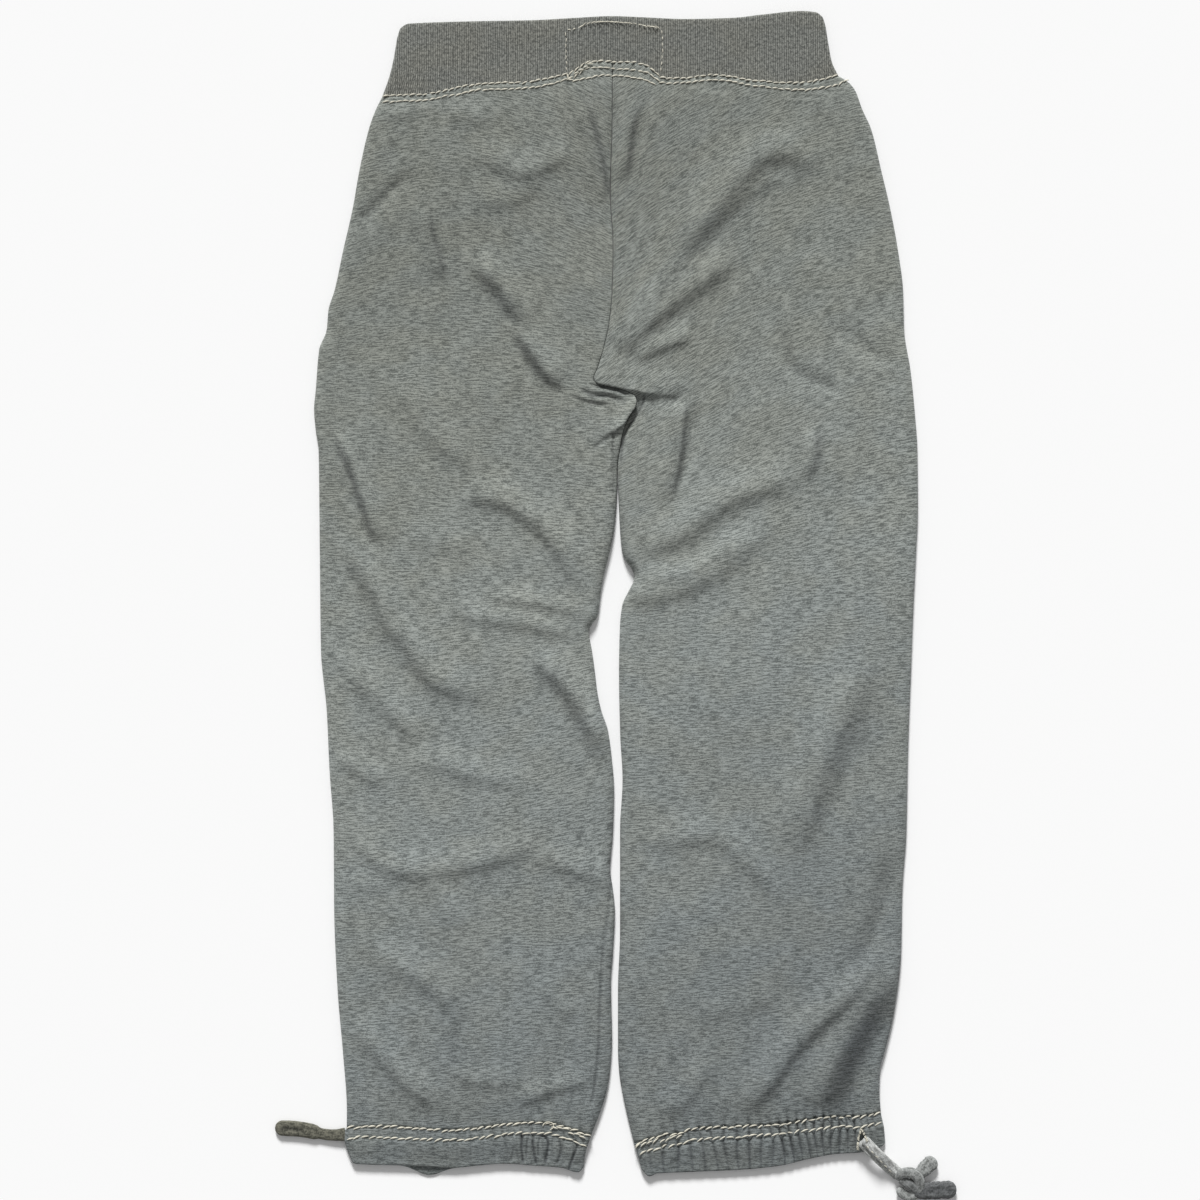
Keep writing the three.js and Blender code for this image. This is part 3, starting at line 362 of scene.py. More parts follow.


# The creases of both back panels
# dark paints shade into the colour at the foot of some of them
BACK_CREASES = (
    # left hip and seat
    crease(-2.2, 6, (-232, 316), (-212, 332), (-192, 352), (-170, 367), dark=0.2),
    crease(0.8, 9, (-226, 300), (-200, 324), (-172, 346)),
    lip(1.6, 12, 6, (-204, 410), (-182, 419), (-156, 426)),
    lip(1.6, 12, 6, (-150, 414), (-130, 414), (-104, 409)),
    lip(3.2, 15, 7, (-126, 388), (-112, 378), (-98, 370), (-83, 366), (-66, 369), (-48, 378), (-34, 387)),
    lip(2.0, 15, 8, (-130, 346), (-111, 341), (-92, 342), (-74, 354), (-60, 362)),
    lip(3.0, 10, 3.4, (-148, 272), (-152, 284), (-157, 299), (-162, 320), (-166, 342), dark=0.6),
    lip(5.0, 15, 8, (-128, 293), (-113, 279), (-99, 264), (-86, 247), (-66, 231), ends=0.34, dark=0.45),
    lip(4.8, 13, 6, (-92, 238), (-80, 220), (-68, 202), (-55, 186), (-44, 178), ends=0.34, dark=0.5),
    # pleats below the middle of the band
    lip(2.8, 9, 4.2, (-8, 338), (-11, 358), (-15, 382), (-22, 408), (-33, 440), dark=0.6),
    lip(2.8, 9, 4.2, (8, 356), (9.5, 378), (12.5, 400), (19, 434), dark=0.6),
    crease(-1.2, 5, (-3, 430), (-1, 400), (-3, 360)),
    # right hip and seat
    lip(5.4, 18, 10, (48, 280), (58, 297), (70, 314), (84, 334), (100, 353), (115, 368), (129, 379),
        (145, 382), (165, 375), (190, 364), dark=0.3),
    lip(2.2, 10, 6, (70, 300), (87, 322), (105, 340), (122, 352), (141, 360), (161, 358)),
    lip(4.2, 15, 8, (-2, 206), (12, 220), (32, 239), (54, 256), (76, 272), (93, 285), (106, 299), dark=0.2),
    lip(2.2, 13, 7, (5, 230), (25, 253), (45, 278), (65, 303)),
    lip(3.2, 10, 6, (14, 203), (30, 211), (50, 219), (72, 227)),
    crease(-2.2, 6, (144, 242), (148, 215), (154, 198), (166, 187), (184, 180), (202, 170), dark=0.3),
    crease(-1.8, 8, (192, 236), (214, 213), (247, 196)),
    # right thigh
    lip(4.6, 18, 10, (12, 36), (33, 42), (55, 51), (75, 66), (96, 81), (121, 91), (146, 99), (168, 108)),
    lip(2.6, 9, 4.6, (164, 98), (170, 112), (173, 128), (175, 148), dark=0.45),
    lip(3.8, 16, 10, (4, 4), (22, 0), (41, 0), (66, 10), (89, 22), (120, 48), (151, 73)),
    lip(1.8, 9, 6, (20, 14), (35, 14), (65, 21), (96, 39), (126, 49)),
    # left thigh
    lip(4.6, 11, 3.8, (-245, 142), (-236, 124), (-227, 102), (-219, 80), (-211, 55), (-207, 42), dark=0.6),
    lip(3.0, 18, 10, (-202, 193), (-178, 165), (-158, 138), (-136, 118), (-110, 104), ends=0.3),
    lip(4.2, 15, 8, (-146, 79), (-125, 84), (-104, 82), (-85, 73), (-66, 59), (-51, 41), (-39, 20),
        (-31, -1), ends=0.3, dark=0.15),
    lip(4.2, 15, 8, (-250, 54), (-232, 36), (-217, 16), (-206, -2), (-198, -24), (-182, -42), (-167, -66),
        (-151, -79), (-126, -88), (-106, -98), dark=0.22),
    lip(1.4, 14, 9, (-192, 50), (-157, 45), (-116, 42)),
    lip(2.4, 10, 6.5, (-147, -9), (-126, -19), (-91, -24), (-56, -31), (-26, -36)),
    lip(2.2, 8, 5, (-116, -1), (-84, -6), (-53, -11), (-22, -23)),
    lip(5.0, 14, 9, (-74, -48), (-58, -64), (-42, -82), (-28, -103), (-18, -124), (-8, -150), dark=0.38),
    # left shin
    lip(3.2, 14, 8, (-248, -46), (-224, -74), (-202, -95), (-184, -113), (-172, -134)),
    lip(2.4, 12, 8, (-186, -142), (-167, -146), (-147, -149), (-131, -155), (-100, -161), (-64, -168)),
    lip(2.2, 11, 6, (-246, -138), (-222, -154), (-198, -166)),
    lip(3.2, 15, 7, (-241, -196), (-220, -219), (-199, -237), (-172, -241), (-141, -238), (-111, -232),
        (-81, -222), (-64, -213)),
    lip(2.6, 13, 7, (-74, -225), (-46, -236), (-20, -244), (-2, -257)),
    lip(2.0, 12, 8, (-178, -236), (-160, -256), (-146, -276), (-134, -300), ends=0.4),
    lip(1.4, 10, 6, (-238, -247), (-217, -253), (-192, -254)),
    lip(3.2, 15, 9, (-222, -298), (-190, -323), (-164, -337), (-146, -350), (-132, -374)),
    crease(-1.4, 7, (-134, -362), (-139, -384), (-141, -402), (-132, -424), ends=0.4, dark=0.3),
    lip(2.0, 10, 6, (-150, -404), (-131, -420), (-106, -424), (-80, -423), ends=0.4),
    lip(3.8, 13, 7, (-235, -366), (-213, -391), (-191, -415), (-171, -433), (-150, -448)),
    lip(2.4, 9, 5, (-90, -449), (-66, -434), (-40, -426), (-18, -422)),
    lip(1.6, 10, 6, (-72, -334), (-50, -356), (-38, -370)),
    # right shin
    lip(2.6, 14, 8, (10, -205), (45, -214), (82, -211), (106, -225), (128, -246), (152, -258)),
    lip(6.2, 26, 15, (146, -246), (156, -218), (165, -186), (176, -155), (189, -126), (202, -96),
        (213, -66), (222, -34), ends=0.36, dark=0.25),
    crease(-2.2, 8, (212, -122), (221, -147), (229, -176)),
    lip(4.6, 16, 7, (110, -456), (120, -440), (134, -424), (150, -400), (166, -382), (196, -354),
        (216, -328), (236, -296), dark=0.3),
    crease(-3.0, 9, (244, -220), (234, -248), (226, -280), (212, -314), (192, -342), dark=0.3),
    lip(6.4, 13, 16, (172, -466), (178, -440), (187, -414), (200, -388), (215, -360), (232, -332),
        (248, -304), ends=0.34, dark=0.4),
    crease(-2.4, 9, (240, -346), (230, -378), (218, -404), (204, -446)),
    crease(-0.6, 15, (238, -340), (224, -364), (210, -388), (199, -412), (193, -436), (190, -458), ends=0.3,
        dark=0.42),
    lip(1.6, 14, 8, (70, -367), (110, -357), (146, -349)),
    lip(2.4, 12, 7, (40, -458), (63, -434), (86, -400)),
    lip(1.4, 12, 7, (62, -265), (90, -285)),
    # broad swells between the creases
    crease(1.3, 30, (-90, 300), (-40, 280), (-10, 240)),
    crease(1.1, 34, (150, 300), (190, 270), (220, 240)),
    crease(1.2, 32, (-150, 220), (-130, 180), (-90, 150)),
    crease(1.0, 34, (90, 160), (140, 150), (200, 90)),
    crease(1.0, 32, (-150, -40), (-100, -60), (-60, -90)),
    crease(1.0, 36, (60, -60), (110, -90), (120, -150)),
    crease(1.0, 30, (-120, -190), (-80, -200), (-40, -210)),
    crease(1.0, 32, (60, -300), (110, -320), (150, -330)),
)
# Those of the right one alone, at the crotch: a pinched flap over a hollow, and the seam beside it
# dark paints shade into the colour at the foot of some of them
RIGHT_ONLY_CREASES = (
    lip(2.0, 17, 2.2, (-19, 182.5), (-8.5, 182), (3, 178.8), (16, 176.5), (28, 173.6), (38, 173), ends=0.16,
        dark=0.15),
    lip(1.3, 17, 2.2, (6, 178), (16, 176.5), (28, 173.6), (45, 172.7), (61, 170.4)),
    lip(4.8, 15, 3.6, (44, 76), (50, 96), (53.5, 112), (55.5, 127), (57, 144), (58.9, 160), (59, 169),
        ends=0.26, dark=0.5),
    crease(-3.4, 6, (75, 170), (70, 150), (66, 130), (61, 112), (52, 88), ends=0.36),
    crease(-1.0, 6.5, (24, 168), (38, 166.5), (53, 164.5), ends=0.3, dark=0.2),
    lip(1.8, 9, 4, (57, 171), (50, 183), (41, 195), dark=0.15),
    crease(-1.6, 3.0, (21, 172), (18.8, 162), (14, 152.5), (9.4, 145), (5.6, 136), (3, 122), ends=0.1,
        dark=0.5),
    crease(-1.2, 1.3, (25, 173), (23.9, 166.6), (20.1, 157.8), (15, 150.3), (10, 142.7), (6.4, 133.9),
        (4.6, 123.8), (4.2, 108), ends=0.08, dark=0.6),
)
# Those of the left one alone: rolls that run into the seam at the crotch, and the leg's inner seam
# dark paints shade into the colour at the foot of some of them
LEFT_ONLY_CREASES = (
    lip(4.0, 8, 1.8, (-9, 133), (-1, 140.5), (7.7, 148.3), (11.3, 154), (17, 162.7), (17.4, 168.8),
        (11.3, 175), ends=0.25, dark=0.3),
    crease(-1.4, 2.0, (-23, 123), (-14, 130), (-7, 135), (2, 143), dark=0.5),
    crease(-1.8, 2.8, (-20, 180.6), (-12, 179.4), (-4, 177.6), (4, 175.4), (11, 172), ends=0.15, dark=0.85),
    crease(1.8, 2.4, (-23, 176.4), (-11, 175.6), (1, 173.6), (9, 170.6)),
    crease(-1.2, 1.9, (-29, 178), (-25.9, 174.4), (-20.3, 172), (-11.4, 171.3), (-2.6, 170), (4, 167.6),
        ends=0.15, dark=0.8),
    crease(1.4, 2.6, (-40, 173.6), (-25, 169.2), (-12, 167.8), (-2, 166.6)),
    crease(-0.9, 2.0, (-42, 173), (-34, 169.6), (-24, 165.6), (-15, 164), (-5, 163.4), dark=0.4),
    crease(-0.8, 3.4, (1, 168.6), (6, 166.4), (11, 165), dark=0.35),
    crease(-1.4, 1.2, (-2.2, 139), (-2.8, 122), (-2.6, 106), (-2.6, 84), ends=0.06, dark=0.5),
    crease(-1.6, 1.3, (-5, -228), (-5.4, -262), (-10.6, -305), (-13.6, -350), (-14.8, -388), (-18, -425),
        (-22, -446), ends=0.04, dark=0.5),
)

# The side that lies on the floor, where a crease can only lift the cloth
FRONT_CREASES = (
    crease(1.3, 9, (-222, 318), (-190, 340), (-150, 352)),
    crease(1.2, 8, (-186, 396), (-140, 402), (-92, 388)),
    crease(1.4, 8, (-120, 284), (-92, 252), (-66, 214), (-40, 184)),
    crease(1.0, 7, (-30, 424), (-22, 388), (-14, 350)),
    crease(1.1, 7, (22, 420), (14, 384), (10, 352)),
    crease(1.4, 9, (46, 286), (84, 330), (126, 366), (178, 362)),
    crease(1.3, 8, (10, 214), (48, 246), (92, 276)),
    crease(1.2, 8, (150, 226), (176, 190), (222, 168)),
    crease(1.4, 9, (20, 44), (70, 62), (120, 84), (168, 98)),
    crease(1.2, 9, (14, 0), (64, 8), (132, 52)),
    crease(1.3, 9, (-196, 170), (-150, 124), (-92, 76), (-40, 30)),
    crease(1.4, 9, (-240, 40), (-206, -8), (-170, -64), (-112, -92)),
    crease(1.2, 7, (-130, -16), (-80, -22), (-34, -32)),
    crease(1.2, 8, (-66, -56), (-36, -92), (-18, -128)),
    crease(1.3, 9, (-226, -206), (-182, -236), (-120, -232), (-66, -216)),
    crease(1.2, 8, (-212, -306), (-162, -336), (-134, -376)),
    crease(1.3, 8, (-226, -376), (-190, -412), (-156, -440)),
    crease(1.2, 9, (30, -212), (86, -214), (146, -250)),
    crease(1.4, 11, (150, -230), (174, -160), (212, -70)),
    crease(1.3, 9, (118, -444), (160, -388), (228, -318)),
    crease(1.2, 9, (60, -440), (84, -402), (140, -352)),
)

# Painted light over the whole garment from the waist to the right hem, darker at both ends and
# brightest at the middle, with a hue from warm to cool, as a share of the way and a colour
PAINTED_FALLOFF = (
    (0.17, (0.880, 0.888, 0.860)),
    (0.34, (0.995, 1.007, 0.983)),
    (0.52, (1.07, 1.095, 1.10)),
    (0.58, (1.028, 1.060, 1.082)),
    (0.7, (0.968, 0.998, 1.022)),
    (0.78, (0.889, 0.925, 0.966)),
    (0.95, (0.755, 0.787, 0.830)),
)
# How much further along the painted light each metre to the right and each one down is, and its middle
DOWN_THE_LEG = (0.35, -0.9, 0.0)
MIDDLE_SHARE = 0.5
# The faint warm and cool patches of the cloth, at random
WARM = (1.009, 1.0, 0.984)
COOL = (0.991, 1.0, 1.014)


class Recipe:
    """A new material, to which nodes are added one by one."""

    def __init__(self, name: str, surface: dict[str, object]) -> None:
        """Starts a material.

        Args:
            name: the material's name.
            surface: plain values of its shader's inputs.
        """
        self.material = bpy.data.materials.new(name)
        self.material.use_nodes = True
        self.shader = self.material.node_tree.nodes["Principled BSDF"]
        self.feed(self.shader, surface)

    def feed(self, node: bpy.types.Node, inputs: dict[str | int, object]) -> None:
        """Gives a node's inputs what they read.

        Args:
            node: the node.
            inputs: the sockets that feed them, or plain values.
        """
        for key, value in inputs.items():
            if isinstance(value, bpy.types.NodeSocket):
                self.material.node_tree.links.new(value, node.inputs[key])
            else:
                node.inputs[key].default_value = value

    def add(self, kind: str, inputs: dict[str | int, object], output: str, **settings: object) -> Socket:
        """Adds a node.

        Args:
            kind: Blender's name of it, less its first word.
            inputs: the sockets that feed its inputs, or plain values.
            output: the name of its output that is used.
            settings: its own settings.

        Returns:
            That output.
        """
        node = self.material.node_tree.nodes.new(f"ShaderNode{kind}")
        for setting, value in settings.items():
            setattr(node, setting, value)
        self.feed(node, inputs)
        return node.outputs[output]

    def noise(self, place: Socket, size: Place, detail: float, roughness: float) -> Socket:
        """Adds noise.

        Args:
            place: where it is read, in metres.
            size: length and height of its grains, in millimetres.
            detail: how many finer layers it has.
            roughness: how strong they are.

        Returns:
            The noise, from 0 to 1.
        """
        scale = (1 / (size[0] * MM), 1 / (size[1] * MM), 1.0)
        grains = self.add("Mapping", {"Scale": scale, "Vector": place}, "Vector")
        inputs = {"Scale": 1.0, "Detail": detail, "Roughness": roughness, "Vector": grains}
        return self.add("TexNoise", inputs, "Fac")

    def blend(self, a: Socket, b: Socket, share: float) -> Socket:
        """Returns a number that is that share of b and the rest of a."""
        return self.add("Mix", {"Factor": share, "A": a, "B": b}, "Result")

    def multiplied(self, a: Socket, b: Socket | tuple[float, ...], share: Socket | float = 1.0) -> Socket:
        """Returns a colour times another one, or that share of the way there."""
        inputs = {"Factor": share, "A": a, "B": b}
        return self.add("Mix", inputs, "Result", data_type="RGBA", blend_type="MULTIPLY")

    def ramp(self, position: Socket, stops: Sequence[tuple[float, Colour]]) -> Socket:
        """Adds a run of colours.

        Args:
            position: where on it to read, from 0 to 1.
            stops: its positions and their colours.

        Returns:
            The colour.
        """
        colour = self.add("ValToRGB", {"Fac": position}, "Color")
        elements = colour.node.color_ramp.elements
        for element, (at, shade) in zip(elements, (stops[0], stops[-1])):
            element.position = at
            element.color = (*shade, 1.0)
        for at, shade in stops[1:-1]:
            elements.new(at).color = (*shade, 1.0)
        return colour

    def finish(self, colour: Socket, height: Socket, strength: float, depth: float) -> bpy.types.Material:
        """Joins the pattern to the shader.

        Args:
            colour: the surface's colour.
            height: its small relief, from 0 to 1.
            strength: how strongly it shows.
            depth: its full height in millimetres.

        Returns:
            The finished material.
        """
        bump = {"Strength": strength, "Distance": depth * MM, "Height": height}
        self.feed(self.shader, {"Base Color": colour, "Normal": self.add("Bump", bump, "Normal")})
        return self.material


@dataclass(frozen=True)
class Marl:
    """A marled knit: flecks of light and dark yarn along its courses.

    Attributes:
        name: the material's name.
        dark: colour of the dark flecks, linear.
        light: colour of the light flecks.
        fleck: length and height of a fleck, in millimetres.
        rib: pitch of the ribs in millimetres, or 0 for a plain knit.
        spread: how far the noise runs from dark to light flecks: small for sharp flecks.
        falloff_and_patches: whether it gets the garment's painted light falloff and warm and cool patches.
        fibre: size of the finest grain.
        cloud: size of the slow changes from light to dark.
        patch: size of the warm and cool patches.
        shadow: what the colour is multiplied by in the deepest fold.
        rib_shade: how bright the valleys between the ribs are.
    """

    name: str
    dark: Colour
    light: Colour
    fleck: Place = (9.0, 1.15)
    rib: float = 0.0
    spread: float = 0.06
    falloff_and_patches: bool = True
    fibre: Place = (0.9, 0.9)
    cloud: Place = (34.0, 22.0)
    patch: Place = (52.0, 38.0)
    shadow: Colour = (0.36, 0.36, 0.38)
    rib_shade: float = 0.48

    def make(self) -> bpy.types.Material:
        """Returns the knit's material, which reads the piece's own UV map in metres."""
        fuzz = {"Sheen Weight": 0.12, "Sheen Roughness": 0.6}
        recipe = Recipe(self.name, {"Roughness": 0.95, "Specular IOR Level": 0.15, **fuzz})
        uv = recipe.add("TexCoord", {}, "UV")
        length, height = self.fleck
        flecks = recipe.noise(uv, self.fleck, detail=2.0, roughness=0.55)
        fine = recipe.noise(uv, (length * 0.28, height * 0.75), detail=2.0, roughness=0.6)
        fibre = recipe.noise(uv, self.fibre, detail=1.0, roughness=0.5)
        cloud = recipe.noise(uv, self.cloud, detail=3.0, roughness=0.55)
        fibres = recipe.blend(recipe.blend(recipe.blend(flecks, fine, 0.4), fibre, 0.22), cloud, 0.05)
        colour = recipe.ramp(fibres, ((0.5 - self.spread, self.dark), (0.5 + self.spread, self.light)))
        # painted shade: the colour is darkened towards the shadow colour where the piece's attribute says
        painted_shade = recipe.add("Attribute", {}, "Fac", attribute_name=PAINTED_SHADE_ATTRIBUTE)
        colour = recipe.multiplied(colour, (*self.shadow, 1.0), painted_shade)
        # painted light: darker towards the waist and the right hem; then random warm and cool patches
        if self.falloff_and_patches:
            patch = recipe.noise(uv, self.patch, detail=2.0, roughness=0.5)
            colour = recipe.multiplied(colour, self._painted_falloff(recipe))
            colour = recipe.multiplied(colour, recipe.ramp(patch, ((0.4, WARM), (0.6, COOL))))
        if self.rib:
            colour = recipe.multiplied(colour, self._rib_shade(recipe, uv))
        return recipe.finish(colour, recipe.blend(fine, flecks, 0.5), strength=0.35, depth=0.5)

    @staticmethod
    def _painted_falloff(recipe: Recipe) -> Socket:
        """Adds painted light over the whole garment: darker at the waist and the right hem, and warm to
        cool.

        Args:
            recipe: the knit's material.

        Returns:
            What the colour is multiplied by.
        """
        place = recipe.add("TexCoord", {}, "Object")
        way = recipe.add("VectorMath", {0: place, 1: DOWN_THE_LEG}, "Value", operation="DOT_PRODUCT")
        share = recipe.add("Math", {0: way, 1: MIDDLE_SHARE}, "Value", operation="ADD", use_clamp=True)
        return recipe.ramp(share, PAINTED_FALLOFF)

    def _rib_shade(self, recipe: Recipe, uv: Socket) -> Socket:
        """Adds the shade between the ribs.

        Args:
            recipe: the knit's material.
            uv: its places, in metres.

        Returns:
            How bright the ribs are across, from their valleys to their tops.
        """
        across = recipe.add("SeparateXYZ", {"Vector": uv}, "X")
        turns = {0: across, 1: 2 * math.pi / (self.rib * MM)}
        turn = recipe.add("Math", turns, "Value", operation="MULTIPLY")
        wave = recipe.add("Math", {0: turn}, "Value", operation="COSINE")
        shades = {"Value": wave, "From Min": -1.0, "From Max": 1.0, "To Min": self.rib_shade, "To Max": 1.0}
        return recipe.add("MapRange", shades, "Result")


@dataclass(frozen=True)
class CottonThread:
    """Thick cream sewing thread."""

    name: str = "cream_thread"
    colour: Colour = (0.72, 0.69, 0.58)
    ply_shade: float = 0.72
    ply_scale: float = 900.0

    def make(self) -> bpy.types.Material:
        """Returns the thread's material, whose plies are unevenly shaded."""
        recipe = Recipe(self.name, {"Roughness": 0.8, "Specular IOR Level": 0.25, "Sheen Weight": 0.1})
        place = recipe.add("TexCoord", {}, "Object")
        plies = recipe.add("TexNoise", {"Scale": self.ply_scale, "Detail": 2.0, "Vector": place}, "Fac")
        dark = tuple(part * self.ply_shade for part in self.colour)
        colour = recipe.ramp(plies, ((0.3, dark), (0.7, self.colour)))
        return recipe.finish(colour, plies, strength=0.3, depth=0.3)


@dataclass(frozen=True)
class PalePaper:
    """The plain pale floor."""

    name: str = "pale_floor"
    colour: Colour = (0.97, 0.97, 0.97)

    def make(self) -> bpy.types.Material:
        """Returns the floor's material."""
        surface = {"Base Color": (*self.colour, 1.0), "Roughness": 1.0, "Specular IOR Level": 0.0}
        return Recipe(self.name, surface).material


@dataclass(frozen=True)
class Wardrobe:
    """Every finish of the garment, made once."""

    fleece: bpy.types.Material
    rib: bpy.types.Material
    cord: bpy.types.Material
    knot: bpy.types.Material
    strand: bpy.types.Material
    thread: bpy.types.Material

    @classmethod
    def sewn(cls) -> "Wardrobe":
        """Returns the finishes of these sweatpants."""
        return cls(
            fleece=Marl("marled_fleece", (0.112, 0.120, 0.112), (0.325, 0.340, 0.318)).make(),
            rib=Marl(
                "marled_rib", (0.136, 0.139, 0.131), (0.372, 0.375, 0.349),
                fleck=(2.6, 2.4), rib=RIB_PITCH, spread=0.08,
            ).make(),
            cord=Marl(
                "marled_cord", (0.060, 0.060, 0.047), (0.180, 0.175, 0.138), fleck=(5.0, 1.0), falloff_and_patches=False
            ).make(),
            # one pale yarn in two colours: the knot's darker, painted shade; the strands' lighter, painted
            # light
            knot=Marl(
                "marled_knot_painted_shade", (0.130, 0.136, 0.131), (0.37, 0.382, 0.373),
                fleck=(5.0, 1.0), spread=0.08, falloff_and_patches=False,
            ).make(),
            strand=Marl(
                "marled_strand_painted_light", (0.24, 0.245, 0.235), (0.62, 0.635, 0.62),
                fleck=(6.0, 0.9), spread=0.08, falloff_and_patches=False,
            ).make(),
            thread=CottonThread().make(),
        )


def only_active(piece: bpy.types.Object) -> None:
    """Selects a piece and nothing else, and makes it active.

    Args:
        piece: the piece.
    """
    bpy.ops.object.select_all(action="DESELECT")
    piece.select_set(True)
    bpy.context.view_layer.objects.active = piece


def turn_outwards(piece: bpy.types.Object) -> None:
    """Joins the edges that meet on a closed piece and turns its faces outwards.

    Args:
        piece: the piece.
    """
    only_active(piece)
    bpy.ops.object.mode_set(mode="EDIT")
    bpy.ops.mesh.select_all(action="SELECT")
    bpy.ops.mesh.remove_doubles(threshold=JOIN_DISTANCE * MM)
    bpy.ops.mesh.normals_make_consistent(inside=False)
    bpy.ops.object.mode_set(mode="OBJECT")


def joined(pieces: Sequence[bpy.types.Object], name: str) -> bpy.types.Object:
    """Makes one piece of several.

    Args:
        pieces: the pieces.
        name: what they are called together.

    Returns:
        The one piece.
    """
    only_active(pieces[0])
    for piece in pieces:
        piece.select_set(True)
    bpy.ops.object.join()
    whole = bpy.context.object
    whole.name = name
    return whole


def points_of(mesh: bpy.types.Mesh) -> Array:
    """Reads a mesh's points.

    Args:
        mesh: the mesh.

    Returns:
        The points in metres, one row each.
    """
    flat = np.empty(len(mesh.vertices) * 3)
    mesh.vertices.foreach_get("co", flat)
    return flat.reshape(-1, 3)


def cloth_grid(name: str, columns: int, rows: int, place: Placer, closed: bool = False) -> bpy.types.Object:
    """Adds a grid and moves its points to where the cloth lies.

    Args:
        name: the piece's name.
        columns: how many faces lie across.
        rows: how many faces lie along.
        place: gives points in millimetres, and UV places in metres, for shares across and along.
        closed: whether edges that meet are joined, and the faces are turned outwards.

    Returns:
        The piece, which has one UV map.
    """
    bpy.ops.object.select_all(action="DESELECT")
    bpy.ops.mesh.primitive_grid_add(x_subdivisions=columns, y_subdivisions=rows, size=2.0)
    piece = bpy.context.object
    piece.name = name
    mesh = piece.data
    mesh.name = name
    shares = (points_of(mesh)[:, :2] + 1.0) / 2.0
    points, uvs = place(shares[:, 0], shares[:, 1])
    mesh.vertices.foreach_set("co", (points * MM).ravel())
    corners = np.empty(len(mesh.loops), dtype=np.int32)
    mesh.loops.foreach_get("vertex_index", corners)
    mesh.uv_layers[0].data.foreach_set("uv", uvs[corners].ravel())
    mesh.update()
    only_active(piece)
    if closed:
        turn_outwards(piece)
    bpy.ops.object.shade_smooth()
    return piece


def paint_shade(piece: bpy.types.Object, depth: Callable[[Array, Array], Array]) -> None:
    """Writes the shade painted into each point of a sheet, which its finish darkens the colour by.

    Args:
        piece: the sheet.
        depth: gives it, from 0 to 1, for places across and along in millimetres.
    """
    places = points_of(piece.data) / MM
    values = np.clip(depth(places[:, 0], places[:, 1]), 0.0, 1.0)
    piece.data.attributes.new(PAINTED_SHADE_ATTRIBUTE, "FLOAT", "POINT").data.foreach_set("value", values)


def give_wall(piece: bpy.types.Object, thickness: float) -> None:
    """Gives a sheet its thickness, inwards from its outside.

    Args:
        piece: the sheet.
        thickness: the cloth's thickness in millimetres.
    """
    only_active(piece)
    wall = piece.modifiers.new("wall", "SOLIDIFY")
    wall.thickness = thickness * MM
    wall.offset = -1.0
    bpy.ops.object.modifier_apply(modifier=wall.name)


def dress(piece: bpy.types.Object, material: bpy.types.Material, slot: str, *nodes: str) -> None:
    """Gives a piece its finish and its place in the frame.

    Args:
        piece: the piece.
        material: its finish.
        slot: not used.
        nodes: the CAD nodes that it replaces.
    """
    piece.data.materials.clear()
    piece.data.materials.append(material)
    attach(piece, "root")
    if nodes:
        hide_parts(*nodes)
    LOG.info("%s: %d faces", piece.name, len(piece.data.polygons))


def spread(ends: Steps) -> Array:
    """Joins even steps of several stretches.

    Args:
        ends: the start, the end and the count of steps of each stretch.

    Returns:
        All the places, from the first start to the last end.
    """
    parts = [np.linspace(start, end, count, endpoint=False) for start, end, count in ends]
    return np.concatenate([*parts, [ends[-1][1]]])


WAIST_LINE = Line(WAIST_SEAM)


